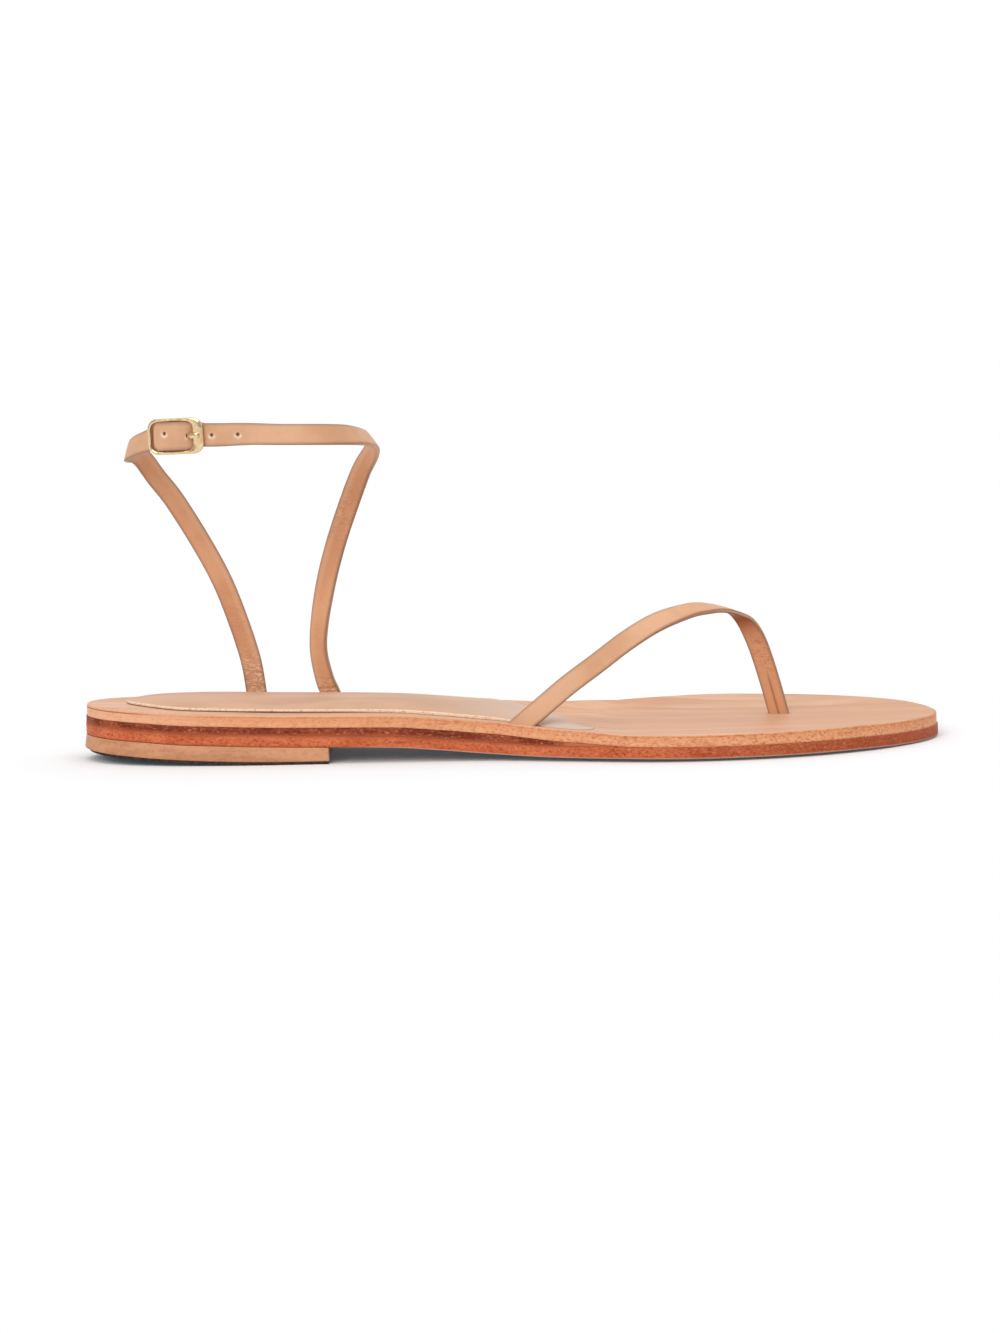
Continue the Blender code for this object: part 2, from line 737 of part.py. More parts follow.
def build_sole(finishes):
    sole_layer(
        "heel_top_piece", HEEL_BREAST, HEEL_STATIONS,
        (TOP_PIECE_INSET - HEEL_FLARE, -HEEL_FLARE),
        (lambda x, y: heel_spring(x), lambda x, y: heel_spring(x) + TOP_PIECE_THICKNESS),
        finishes["rubber"],
    )
    sole_layer(
        "heel_lift", HEEL_BREAST, HEEL_STATIONS,
        (-HEEL_FLARE, 0),
        (
            lambda x, y: heel_spring(x) + TOP_PIECE_THICKNESS + FIT_GAP,
            lambda x, y: heel_spring(x) + HEEL_STACK - FIT_GAP,
        ),
        finishes["heel"],
    )
    sole_layer("outsole", SOLE_LENGTH, SOLE_STATIONS, (0, 0), (sole_bottom, outsole_top), finishes["outsole"])
    sole_layer(
        "midsole_wedge", WEDGE_END, SOLE_STATIONS // 2, (WEDGE_INSET, WEDGE_INSET),
        (wedge_bottom, wedge_top), finishes["wedge"],
    )
    sock_object(finishes["sock"])
    return sole_layer(
        "footbed", SOLE_LENGTH, SOLE_STATIONS, (FOOTBED_INSET, FOOTBED_INSET),
        (footbed_bottom, footbed_top), finishes["footbed"],
    )


def build_toe_strap(footbed, strap_finish):
    rows = into_slot(into_slot(TOE_STRAP, first=True), first=False)
    frames = strap_frames(with_thickness(rows))
    ribbon_object("toe_strap", frames, STRAP_WIDTH, strap_finish, rooted=(True, True))
    boolean(footbed, slot_cutter("toe_slot_outer", frames[0]), "DIFFERENCE")
    boolean(footbed, slot_cutter("toe_slot_post", frames[-1]), "DIFFERENCE")


def build_ankle_straps(footbed, strap_finish):
    rows = with_thickness(into_slot(FRONT_LEG, first=True))
    frames = strap_frames(rows + front_weave())
    front = ribbon_object(
        "ankle_strap_front", frames, STRAP_WIDTH, strap_finish,
        rooted=(True, False), tip_radius=STRAP_WIDTH / 2,
    )
    punch_holes(front, frames, strap_frames(prong_rows()))
    boolean(footbed, slot_cutter("ankle_slot_front", frames[0]), "DIFFERENCE")
    rows = with_thickness(into_slot(REAR_LEG, first=False))
    frames = strap_frames(rear_loop() + rows)
    rear = ribbon_object("ankle_strap_rear", frames, STRAP_WIDTH, strap_finish, rooted=(False, True))
    prong_slot(rear)
    boolean(footbed, slot_cutter("ankle_slot_rear", frames[-1]), "DIFFERENCE")


def build_buckle(brass_finish):
    buckle_frame(brass_finish)
    ribbon_object("buckle_prong", strap_frames(prong_rows()), PRONG_WIDTH, brass_finish)


def main():
    clear_scene()
    finishes = {
        "strap": finish("strap leather", (0.79, 0.45, 0.27), 0.5),
        "footbed": finish("footbed leather", (0.76, 0.44, 0.26), 0.55),
        "sock": finish("insole leather", (0.68, 0.42, 0.28), 0.6),
        "wedge": finish("dark wedge leather", (0.24, 0.05, 0.02), 0.6),
        "outsole": finish("stained sole leather", (0.5, 0.13, 0.05), 0.5),
        "heel": finish("heel leather", (0.56, 0.27, 0.13), 0.6),
        "rubber": finish("heel rubber", (0.06, 0.03, 0.02), 0.8),
        "brass": finish("polished brass", (0.83, 0.6, 0.28), 0.18, 1.0),
    }
    footbed = build_sole(finishes)
    build_toe_strap(footbed, finishes["strap"])
    build_ankle_straps(footbed, finishes["strap"])
    build_buckle(finishes["brass"])


main()
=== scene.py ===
import math

import bmesh
import bpy
import numpy as np
from mathutils import Matrix, Vector

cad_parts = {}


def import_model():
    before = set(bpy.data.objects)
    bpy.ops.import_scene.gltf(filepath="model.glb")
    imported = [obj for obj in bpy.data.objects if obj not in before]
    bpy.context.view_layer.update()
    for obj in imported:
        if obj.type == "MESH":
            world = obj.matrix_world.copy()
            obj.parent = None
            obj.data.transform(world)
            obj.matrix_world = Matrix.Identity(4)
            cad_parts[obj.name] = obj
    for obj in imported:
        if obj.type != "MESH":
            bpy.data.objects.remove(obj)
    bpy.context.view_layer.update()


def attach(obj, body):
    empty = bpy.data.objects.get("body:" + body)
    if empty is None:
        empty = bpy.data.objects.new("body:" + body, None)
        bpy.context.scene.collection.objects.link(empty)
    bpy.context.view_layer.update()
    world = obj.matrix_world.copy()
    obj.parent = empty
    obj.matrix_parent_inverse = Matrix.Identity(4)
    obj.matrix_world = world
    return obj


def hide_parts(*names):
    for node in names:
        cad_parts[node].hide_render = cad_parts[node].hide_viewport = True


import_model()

BODY = "root"

# The looks of a flat toe-post sandal. The tables follow the part's own sizes, in millimetres:
# x from the back of the sole, y from the heel's centre line (outer side negative), z from the floor.
MM = 0.001
SOLE_LENGTH = 250.0
FIT_GAP = 0.3
SEAM = 0.04
CLOSING = FIT_GAP - SEAM
TOP_PIECE_THICKNESS = 0.75
OUTSOLE_THICKNESS = 3.4
FOOTBED_THICKNESS = 3.2
LEAST_WALL = 0.01
HEEL_BREAST = 71.6
HEEL_SPRING = 2.6
HEEL_SPRING_LENGTH = 58.0
HEEL_SPRING_POWER = 1.6
HEEL_FLARE = 0.5
WEDGE_END = 148.0
WEDGE_FADE = 8.0
WEDGE_FADE_SHOWN = 5.6
WEDGE_INSET = 0.15
FOOTBED_INSET = 0.35
TOP_PIECE_INSET = 0.15
TOP_PIECE_BACK_INSET = 1.1
TOP_PIECE_BACK_LENGTH = 14.0
FLAT_SHARE = 0.35

# Sole outline: station along the sole, y of the outer edge, y of the inner edge
OUTLINE = (
    (0, 0, 0), (10, -17.5, 16.0), (28, -25.0, 23.8), (48, -27.5, 25.8), (71, -28.5, 25.0),
    (95, -29.5, 21.5), (119, -31.5, 20.0), (142, -38.0, 26.0), (165, -44.0, 38.0), (185, -44.5, 45.5),
    (205, -40.5, 46.5), (225, -30.5, 40.0), (240, -16.5, 32.0), (250, 8, 8),
)

# Underside of the outsole: station, height of its middle, rise of the outer edge, rise of the inner edge
PROFILE = (
    (0, 7.5, 0, 0), (18, 6.7, 0, 0), (28, 6.08, 0, 0), (40, 5.68, 0, 0), (54, 5.18, 0, 0),
    (70, 4.8, 0, 0), (80, 4.55, 0, 0.1), (92, 4.1, 0.1, 0.3), (104, 3.1, 0.2, 0.7),
    (116, 1.85, 0.4, 1.2), (128, 0.9, 0.6, 1.8), (139, 0.35, 0.8, 2.4), (155, 0, 1.0, 2.9),
    (180, 0, 0.8, 2.7), (207, 0, 0.8, 2.0), (222, 0, 0.8, 1.8), (238, 0.15, 0.3, 1.0), (250, 0.3, 0, 0),
)

# Dark wedge layer: station, thickness
WEDGE = ((0, 1.7), (66, 1.9), (95, 2.1), (118, 2.1), (138, 0.9), (WEDGE_END, 0.4))

# Groove along the footbed's edge: inset, depth below its top
FOOTBED_GROOVE = [(0.0, 0.62), (0.07, 0.72), (0.07, 0.8), (0.0, 0.92)]

# Unevenness of cut edges: wave length, turn for each seed, divisor of the edge's own size
RIPPLES = ((61.0, 1.7, 1.5), (37.0, 2.7, 2.5), (23.0, 3.7, 3.5), (11.0, 4.7, 4.5), (7.0, 5.7, 5.5))

# Padded insole: its ends, how it rounds off and thins out, then station, inset from the outer edge,
# inset from the inner edge
SOCK_EDGE_THICKNESS = 0.7
SOCK_PADDING = 2.1
SOCK_BACK = 12.0
SOCK_FRONT = 145.0
SOCK_NOSE = 26.0
SOCK_SKEW = 3.5
SOCK_NOSE_SHIFT = 0.5
SOCK_FRONT_THICKNESS = 0.18
SOCK_THIN_FROM = 118.0
SOCK_THIN_LENGTH = 14.0
SOCK_ROUNDING = 2.4
SOCK_SKEW_POWER = 6
SOCK_CROWN_POWER = 3
SOCK_END_POWER = 8
SOCK_INSET = (
    (0, 8.5, 5.5), (52, 8.5, 6.0), (74, 8.5, 7.0), (95, 8.0, 6.0), (118, 7.5, 3.4), (130, 7.4, 4.0),
    (140, 5.0, 5.2), (150, 4.2, 7.0),
)

# How far the insole's edge stands off the footbed: station, gap
SOCK_LIFT = (
    (0, 0.0), (22, 0.03), (44, 0.07), (54, 0.17), (62, 0.07), (80, 0.02), (100, 0.0), (150, 0.0),
)

STRAP_WIDTH = 6.1
STRAP_THICKNESS = 1.4
STRAP_END_THICKNESS = 0.8
STRAP_EDGE_RADIUS = 0.45
STRAP_EDGE_SHARE = 0.46
STRAP_DOME = 0.08
SEAM_DEPTH = 0.3
SEAM_HALF_WIDTH = 0.26
SEAM_FADE = 5.0
TOE_SEAM_LENGTH = 17.0
TIP_CORNER = 1.6
ROOT_DEPTH = 2.6
ROOT_STEPS = 4
SLOT_ROOM = 0.12
END_PLY_RISE = 0.45

# Growth of a strap's half width by the buckle, and the distances from it between which that ends
FRONT_WIDENING = ((0.7, 5.6, 8.6), (0.35, 8.0, 30.0))
REAR_WIDENING = ((1.05, 6.2, 9.8),)

# Places across a strap's face, as shares of its half width
FACE_SHARES = np.array([-1, -0.8, -0.6, -0.4, -0.2, -0.07, 0, 0.07, 0.2, 0.4, 0.6, 0.8, 1])

# Shading of a strap's rounded edge: turn out of the strap's plane in degrees, strength
EDGE_SHADE = ((60, 0.8), (30, 1.0), (0, 0.35), (-30, 1.0), (-60, 0.8))
FACE_BORDER_SHADE = 0.45
PALE_FROM = 0.8
PALE_FADE = 0.5

# Straps: x, y, z of the middle of the strap, then the way that its outer face looks
TOE_STRAP = (
    (127.9, -29.2, 10.6, -0.22, -0.92, 0.3),
    (132.3, -27.6, 14.0, -0.1, -0.96, 0.18),
    (140.7, -23.4, 20.4, -0.05, -0.97, 0.12),
    (149.6, -18.2, 26.2, -0.08, -0.97, 0.15),
    (158.6, -12.8, 32.1, -0.2, -0.95, 0.2),
    (167.6, -7.5, 36.7, -0.2, -0.85, 0.45),
    (176.5, -2.5, 39.2, -0.1, -0.6, 0.8),
    (181.6, 0.5, 39.6, 0, -0.4, 0.92),
    (186.3, 3.6, 39.1, 0.1, -0.12, 1),
    (190.8, 6.5, 37.4, 0.4, 0.2, 0.95),
    (194.2, 8.6, 34.3, 0.45, 0.7, 0.5),
    (196.9, 10.2, 29.3, 0.3, 0.93, 0.15),
    (199.2, 11.3, 22.7, 0.22, 0.97, 0),
    (201.6, 11.9, 14.3, 0.22, 0.97, 0),
    (203.6, 12.0, 6.5, 0.22, 0.97, 0),
)
FRONT_LEG = (
    (71.0, 21.0, 15.3, 0.4, 0.92, 0),
    (69.3, 21.2, 19.8, 0.5, 0.87, 0),
    (67.8, 22.0, 27.9, 0.6, 0.8, 0),
    (68.4, 23.0, 36.7, 0.55, 0.84, 0),
    (70.7, 23.8, 48.6, 0.35, 0.94, 0),
    (74.1, 23.6, 60.5, 0.3, 0.95, 0),
    (78.5, 21.0, 72.6, 0.22, 0.97, 0),
    (82.2, 15.5, 81.6, 0.5, 0.84, 0.15),
    (85.5, 7.0, 87.5, 0.87, 0.42, 0.3),
    (85.9, -3.0, 91.0, 0.85, -0.1, 0.65),
    (83.9, -12.5, 92.9, 0.72, -0.5, 0.68),
    (79.6, -22.2, 94.2, 0.46, -0.84, 0.45),
    (71.9, -28.6, 94.9, 0.2, -1, 0.25),
    (60.4, -30.6, 95.3, 0.03, -1, 0.15),
)
REAR_LEG = (
    (18.4, -16.5, 92.3, -0.72, -0.65, 0.22),
    (15.4, -7.5, 90.0, -0.93, -0.2, 0.3),
    (16.6, 2.5, 89.0, -0.9, 0.3, 0.3),
    (18.5, 10.5, 86.3, -0.55, 0.8, 0.2),
    (21.8, 16.3, 80.6, -0.2, 0.98, 0.05),
    (26.4, 19.8, 73.9, -0.15, 1, 0),
    (33.5, 22.6, 61.5, 0, 1, 0),
    (39.6, 23.4, 49.4, 0, 1, 0),
    (44.1, 23.0, 37.3, 0, 1, 0),
    (47.6, 22.3, 25.4, 0, 1, 0),
    (49.1, 22.0, 15.4, 0, 1, 0),
)

# Creases across a strap's inner face: distance from its root, depth, half width, slant
REAR_CREASES = (
    (4.6, 0.2, 0.4, 0.25), (5.8, 0.14, 0.35, -0.35), (7.0, 0.18, 0.4, 0.45), (8.3, 0.13, 0.35, -0.4),
    (9.5, 0.16, 0.4, 0.4), (10.9, 0.12, 0.35, -0.45), (12.2, 0.12, 0.4, 0.35), (13.8, 0.08, 0.4, -0.3),
    (16.0, 0.07, 0.45, 0.25), (20.5, 0.05, 0.6, 0.15), (27.0, 0.04, 0.7, 0.1),
)
FRONT_CREASES = (
    (4.6, 0.14, 0.4, -0.3), (5.9, 0.11, 0.35, 0.35), (7.2, 0.1, 0.4, -0.4), (8.8, 0.06, 0.4, 0.3),
    (13.0, 0.04, 0.6, 0.2),
)
TOE_CREASES = ((5.0, 0.05, 0.8, 0.1), (8.0, 0.04, 0.8, -0.1))
CREASE_RIDGE = 0.5
CREASE_RIDGE_AT = 1.6
CREASE_ON_FACE = 0.25
CREASE_EDGE_LOSS = 0.3

# How far wrinkles reach from each root, and how strong they start; the painted shade and highlights of the
# wrinkles, and of the face near the root, go with them
TOE_WRINKLE_REACH = 9.0
FRONT_WRINKLE_REACH = 7.0
REAR_WRINKLE_REACH = 14.0
WRINKLE_START = 1.4

# Stretches along a strap, as distance from its root, half length and strength: painted shade on the lining
# near the toe post's top, a lower edge that is shaded less, and lining with fine marks along its folds
# that are partly crackle and partly painted shade
TOE_PAINTED_SHADE = ((86.0, 6.0, 1.0),)
FRONT_SOFT = ((97.0, 14.0, 0.75),)
TOE_CRACKS = ((100.0, 7.0, 0.9),)
FRONT_CRACKS = ((60.0, 10.0, 0.75),)
REAR_CRACKS = ((28.0, 8.0, 0.45),)

# Holes: number of pitches behind the prong's own, shift towards the tip, shift up across the strap
HOLES = ((-1, -0.85, 0.9), (0, 0, 0), (1, 0, 0), (2, 0, 0))
PRONG_HOLE_RADIUS = 0.85
PRONG_HOLE_SHIFT = 0.4
HOLE_RADIUS = 0.55
HOLE_FLOOR = 0.35
HOLE_PITCH = 7.6
HOLE_DIMPLE = 0.2
HOLE_DIMPLE_RADIUS = 1.3
# Painted highlight round each hole, strongest on its lower side: radius of its ring, width, least share
HOLE_HIGHLIGHT_RADIUS = 0.85
HOLE_HIGHLIGHT_WIDTH = 0.32
HOLE_HIGHLIGHT_LEAST = 0.15

# Buckle: its middle, its turn with the ankle loop and its tilt
BUCKLE_AT = (30.4, -27.0, 95.3)
BUCKLE_TURN = math.radians(17)
BUCKLE_TILT = math.radians(2.15)
BUCKLE_LENGTH = 16.8
BUCKLE_HEIGHT = 10.4
BUCKLE_DEPTH = 1.6
BUCKLE_CORNER = 3.0
BUCKLE_SQUARENESS = 0.7
SIDE_BAR = 1.15
REAR_BAR = 1.1
FRONT_BAR = 3.2
CENTRE_BAR_RADIUS = 0.5
CENTRE_BAR_DROP = 0.9
LOOP_RADIUS = CENTRE_BAR_RADIUS + FIT_GAP + STRAP_END_THICKNESS / 2
PRONG_WIDTH = 1.6
PRONG_THICKNESS = 0.6
PRONG_SQUARENESS = 0.75
PRONG_TIP_LENGTH = 0.7
PRONG_TIP_LEAST = 0.12

# Fineness of the meshes
SOLE_RUNGS = 190
HEEL_RUNGS = 90
SOCK_RUNGS = 120
COLUMNS = 29
WALL_SHARES = (0.25, 0.5, 0.75)
STRAP_STEPS = 9
FINE_STRAP_STEPS = 20
PRONG_STEPS = 8
FRAME_SIDES = 20
PRONG_SIDES = 16
BAR_SIDES = 32
HOLE_SIDES = 24
END_ANGLE = 0.03
ANGLE_STEP = 1e-4

# Places across a layer of the sole, from -1 on its outer edge to 1 on its inner edge, closer at the edges
ACROSS = np.sin(np.linspace(-math.pi / 2, math.pi / 2, COLUMNS))
SQUARE = ((-1, -1), (1, -1), (1, 1), (-1, 1))

# Camera, for the photo's 1000 by 1333 frame
PHOTO_HEIGHT = 1333
PHOTO_SCALE = 0.29266
CAMERA_AIM = (121.5, 0.0, 24.0)
CAMERA_DISTANCE = 1500.0
CAMERA_ELEVATION = math.radians(6.0)
CAMERA_ROLL = math.radians(1.4)
SENSOR = 36.0

# Studio, in metres: lamps with the place that each shines from, its strength and its spread in degrees
LAMPS = (("overhead", (0.1, -0.35, 1.3), 1.2, 62), ("front", (-0.6, -1.4, 0.85), 1.22, 30))
LAMPS_AIM = Vector((0, 0, 0.03))
FLOOR_REACH = 6.0
FLOOR_COLOUR = (0.785, 0.782, 0.78, 1)
FLOOR_GLOW_COLOUR = (0.6, 0.8, 1.0, 1)
FLOOR_GLOW = 0.05
BRIGHT_SIDE = (0.2, 0.97, 0.0)
SURROUND_DIM = 0.36
SURROUND_BRIGHT = 1.06

# Share of a shown colour that the leather itself sends back; the studio's extra light adds the rest
ALBEDO = 0.86


# Curves

def unit(vectors):
    return vectors / np.linalg.norm(vectors, axis=-1)[..., None]


def bell(off, width):
    """1 in the middle, falling off over a width."""
    return np.exp(-((off / width) ** 2))


def distance_along(points):
    """How far each point lies from the first, along the line through them."""
    steps = np.linalg.norm(np.diff(points, axis=0), axis=1)
    return np.concatenate([[0], np.cumsum(steps)])


def smooth_curve(knots, values, monotone=True):
    """A function that runs smoothly through the values at the knots; monotone ones never overshoot."""
    knots = np.asarray(knots, float)
    values = np.asarray(values, float)
    steps = np.diff(knots)
    rates = np.diff(values) / steps
    inner = (rates[:-1] * steps[1:] + rates[1:] * steps[:-1]) / (steps[:-1] + steps[1:])
    if monotone:
        product = rates[:-1] * rates[1:]
        total = np.where(product > 0, rates[:-1] + rates[1:], 1)
        inner = np.where(product > 0, 2 * product / total, 0)
    slopes = np.concatenate([[rates[0]], inner, [rates[-1]]])

    def at(x):
        x = np.clip(x, knots[0], knots[-1])
        i = np.clip(np.searchsorted(knots, x, side="right") - 1, 0, len(knots) - 2)
        step = knots[i + 1] - knots[i]
        u = (x - knots[i]) / step
        near = (1 + 2 * u) * (1 - u) ** 2 * values[i] + u * (1 - u) ** 2 * step * slopes[i]
        far = u**2 * (3 - 2 * u) * values[i + 1] - u**2 * (1 - u) * step * slopes[i + 1]
        return near + far

    return at


def column_curves(rows):
    """A curve for each column after the first, which holds the stations."""
    stations, *columns = zip(*rows)
    return [smooth_curve(stations, column) for column in columns]


# Shape of the sole

def turn_at(station):
    """The angle that stands for a station: 0 at the heel's back, pi at the toe."""
    return np.arccos(1 - 2 * np.clip(np.asarray(station, float) / SOLE_LENGTH, 0, 1))


def station_at(angle):
    return SOLE_LENGTH / 2 * (1 - np.cos(angle))


def closed_outline():
    """y of the outline as a smooth function of the angle round the sole, outer edge first."""
    stations, outer, inner = np.array(OUTLINE).T
    turns = turn_at(stations)
    knots = np.concatenate([turns, math.tau - turns[-2::-1]])
    values = np.concatenate([outer, inner[-2::-1]])
    knots = np.concatenate([knots[-4:-1] - math.tau, knots, knots[1:4] + math.tau])
    values = np.concatenate([values[-4:-1], values, values[1:4]])
    return smooth_curve(knots, values, monotone=False)


outline_y = closed_outline()
profile_middle, profile_outer, profile_inner = column_curves(PROFILE)
[wedge_thickness] = column_curves(WEDGE)
sock_inset_outer, sock_inset_inner = column_curves(SOCK_INSET)
[sock_lift] = column_curves(SOCK_LIFT)


def outline_point(angle, inset=0.0):
    """Points of the outline, moved inwards along its normal."""
    dx = SOLE_LENGTH / 2 * np.sin(angle)
    dy = (outline_y(angle + ANGLE_STEP) - outline_y(angle - ANGLE_STEP)) / (2 * ANGLE_STEP)
    size = np.hypot(dx, dy)
    return station_at(angle) - inset * dy / size, outline_y(angle) + inset * dx / size


def sole_centre():
    """Middle of the sandal's box in the tables' frame, which is the world's origin."""
    x, y = outline_point(np.linspace(0, math.tau, 720))
    return np.array([(x.max() - HEEL_FLARE) / 2, (y.min() + y.max()) / 2, 0.0])


CENTRE = sole_centre()


def world(points):
    """World metres of table points."""
    return (np.asarray(points, float) - CENTRE) * MM


def across_share(x, y):
    """Place across the sole at a station: -1 on the outer edge, 1 on the inner edge."""
    angle = turn_at(x)
    outer = outline_y(angle)
    inner = outline_y(math.tau - angle)
    half = np.maximum((inner - outer) / 2, 1.0)
    return np.clip((y - (inner + outer) / 2) / half, -1, 1)


def edge_rise(share):
    return np.maximum(0.0, (share - FLAT_SHARE) / (1 - FLAT_SHARE)) ** 2


def raised(surface, by):
    """A surface, which gives z at x and y, moved up."""
    return lambda x, y: surface(x, y) + by


def heel_bottom(x, y):
    """Underside of the heel, which rises towards its back."""
    share = np.clip(1 - np.maximum(x, 0) / HEEL_SPRING_LENGTH, 0, 1)
    return HEEL_SPRING * share**HEEL_SPRING_POWER


def sole_bottom(x, y):
    """Underside of the outsole: flat in the middle, with its edges cupped up."""
    share = across_share(x, y)
    cup = profile_outer(x) * edge_rise(-share) + profile_inner(x) * edge_rise(share)
    return profile_middle(x) + cup


outsole_top = raised(sole_bottom, OUTSOLE_THICKNESS)
wedge_bottom = raised(outsole_top, SEAM)


def footbed_bottom(x, y):
    """Underside of the footbed, closed onto the wedge and, past its end, onto the outsole."""
    fade = np.clip((WEDGE_END + WEDGE_FADE - x) / WEDGE_FADE, 0, 1)
    return wedge_bottom(x, y) + fade * (wedge_thickness(x) + FIT_GAP)


def wedge_top(x, y):
    return np.maximum(footbed_bottom(x, y) - SEAM, wedge_bottom(x, y) + SEAM)


footbed_top = raised(footbed_bottom, CLOSING + FOOTBED_THICKNESS)


def ripple(length, seed, size):
    """Small steady unevenness of a hand-cut edge, along its length."""
    return size * sum(np.sin(math.tau * length / wave + seed * turn) / part for wave, turn, part in RIPPLES)


# Mesh helpers

def linked(name, data):
    obj = bpy.data.objects.new(name, data)
    bpy.context.scene.collection.objects.link(obj)
    return obj


def mesh_object(name, points, faces, values):
    """An object from table points; values are numbers kept at its points."""
    mesh = bpy.data.meshes.new(name)
    mesh.from_pydata(world(points).tolist(), [], faces)
    for key, numbers in values.items():
        attribute = mesh.attributes.new(key, "FLOAT", "POINT")
        attribute.data.foreach_set("value", np.asarray(numbers, np.float32))
    shape = bmesh.new()
    shape.from_mesh(mesh)
    bmesh.ops.recalc_face_normals(shape, faces=shape.faces)
    shape.to_mesh(mesh)
    shape.free()
    return linked(name, mesh)


def smooth(obj, sharp=40):
    obj.data.shade_smooth()
    obj.data.set_sharp_from_angle(angle=math.radians(sharp))


def piece(node, slot, material, points, faces, values, sharp=40):
    """A smooth piece that stands for a CAD node."""
    obj = mesh_object(node + "_look", points, faces, values)
    obj.data.materials.append(material)
    smooth(obj, sharp)
    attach(obj, BODY)
    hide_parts(node)
    return obj


def bands(rings):
    """Faces between each ring of point numbers and the next, once round."""
    faces = []
    for near, far in zip(rings, rings[1:]):
        faces += np.column_stack([near, np.roll(near, -1), np.roll(far, -1), far]).tolist()
    return faces


def tube_faces(count, sides):
    """Faces of a row of rings of points: both ends, then the wall."""
    rings = np.arange(count * sides).reshape(count, sides)
    return [rings[0].tolist(), rings[-1].tolist()] + bands(rings)


def cut(obj, helpers, operation="DIFFERENCE"):
    """Cuts helpers from a piece, or joins them to it, and removes them."""
    for helper in helpers:
        modifier = obj.modifiers.new("cut", "BOOLEAN")
        modifier.operation = operation
        modifier.solver = "EXACT"
        modifier.object = helper
    bpy.context.view_layer.update()
    graph = bpy.context.evaluated_depsgraph_get()
    mesh = bpy.data.meshes.new_from_object(obj.evaluated_get(graph), depsgraph=graph)
    obj.modifiers.clear()
    obj.data = mesh
    smooth(obj)
    for helper in helpers:
        bpy.data.objects.remove(helper, do_unlink=True)


def bar_cutter(start, end, wide, deep):
    """A straight bar between two points; wide and deep are its half sizes as vectors."""
    points = [place + wide * a + deep * b for place in (start, end) for a, b in SQUARE]
    return mesh_object("cutter", points, tube_faces(2, len(SQUARE)), {})


def rod_cutter(start, end, radius, sides):
    """A round bar between two points."""
    along = unit(end - start)
    aslant = (0.3, 0.5, 0.8)
    across = unit(np.cross(along, aslant))
    ring = np.array(squared_ring(sides, 1)).T @ (across, np.cross(along, across))
    points = np.vstack([start + ring * radius, end + ring * radius])
    return mesh_object("cutter", points, tube_faces(2, sides), {})


# Layers of the sole

def rounded_edge(radius, steps=4):
    """(inset, depth) pairs of a rounded edge, from the flat face down to the side wall."""
    turns = np.linspace(0, math.pi / 2, steps + 1)
    return [(radius * (1 - math.sin(t)), radius * (1 - math.cos(t))) for t in turns]


def flared(edge, offset):
    """An edge's rows moved in or out by an offset."""
    return [(inset + offset, depth) for inset, depth in edge]


def rim(grid):
    """A grid's border, once round: outer side, far end, inner side, near end."""
    return np.concatenate([grid[:, 0], grid[-1, 1:], grid[-2::-1, -1], grid[0, -2:0:-1]])


def plan_grid(points, rungs):
    """Grid points in plan, between border points in the order of rim."""
    outer = points[:rungs]
    far = points[rungs - 1 : rungs + COLUMNS - 1]
    inner = points[rungs + COLUMNS - 2 : 2 * rungs + COLUMNS - 2][::-1]
    near = np.vstack([points[:1], points[2 * rungs + COLUMNS - 2 :][::-1], inner[:1]])
    part = (ACROSS[None, :, None] + 1) / 2
    grid = outer[:, None, :] * (1 - part) + inner[:, None, :] * part
    grid[0] = near
    grid[-1] = far
    return grid


def layer(node, slot, material, border, heights, edges, crown=0.0, seed=1, uneven=0.05):
    """A closed layer between two surfaces, with shaped edges.

    border is its outline in plan, as points and outward normals, in the order of rim.
    heights are its lower and upper surface, edges its lower and upper rows of (inset, depth).
    Two values go with each point: up, from 0 below to 1 on top, and side, 1 on the wall.
    """
    bottom, top = heights
    lower_edge, upper_edge = edges
    points, normals = border
    points = points - normals * ripple(distance_along(points), seed, uneven)[:, None]
    around = len(points)
    rungs = around // 2 - COLUMNS + 2
    count = rungs * COLUMNS
    wall_low = bottom(*points.T)
    wall_high = top(*points.T)

    def flat(surface, inset, extra):
        grid = plan_grid(points - normals * inset, rungs)
        z = surface(grid[..., 0], grid[..., 1]) + extra
        return np.dstack([grid, z]).reshape(-1, 3)

    wall = [(inset, wall_high - depth) for inset, depth in upper_edge[1:]]
    for share in WALL_SHARES:
        inset = upper_edge[-1][0] * (1 - share) + lower_edge[-1][0] * share
        high = wall_high - upper_edge[-1][1]
        low = wall_low + lower_edge[-1][1]
        wall.append((inset, high * (1 - share) + low * share))
    wall += [(inset, wall_low + depth) for inset, depth in reversed(lower_edge[1:])]
    rows = [np.column_stack([points - normals * inset, z]) for inset, z in wall]
    upper = flat(top, upper_edge[0][0], crown)
    lower = flat(bottom, lower_edge[0][0], 0.0)

    ids = np.arange(count).reshape(rungs, COLUMNS)
    cells = np.dstack([ids[:-1, :-1], ids[:-1, 1:], ids[1:, 1:], ids[1:, :-1]]).reshape(-1, 4)
    faces = np.hstack([cells, count + cells[:, ::-1]]).reshape(-1, 4).tolist()
    rings = [2 * count + k * around + np.arange(around) for k in range(len(rows))]
    faces += bands([rim(ids)] + rings + [count + rim(ids)])

    thickness = np.maximum(wall_high - wall_low, LEAST_WALL)
    up = [np.ones(count), np.zeros(count)] + [(row[:, 2] - wall_low) / thickness for row in rows]
    side = np.repeat([0.0, 1.0], [2 * count, len(rows) * around])
    values = {"up": np.concatenate(up), "side": side}
    return piece(node, slot, material, np.vstack([upper, lower] + rows), faces, values)


def border_from(points):
    """A closed border with outward normals; points run from the outer side over the toe."""
    ahead = np.roll(points, -1, axis=0) - np.roll(points, 1, axis=0)
    return points, unit(np.column_stack([ahead[:, 1], -ahead[:, 0]]))


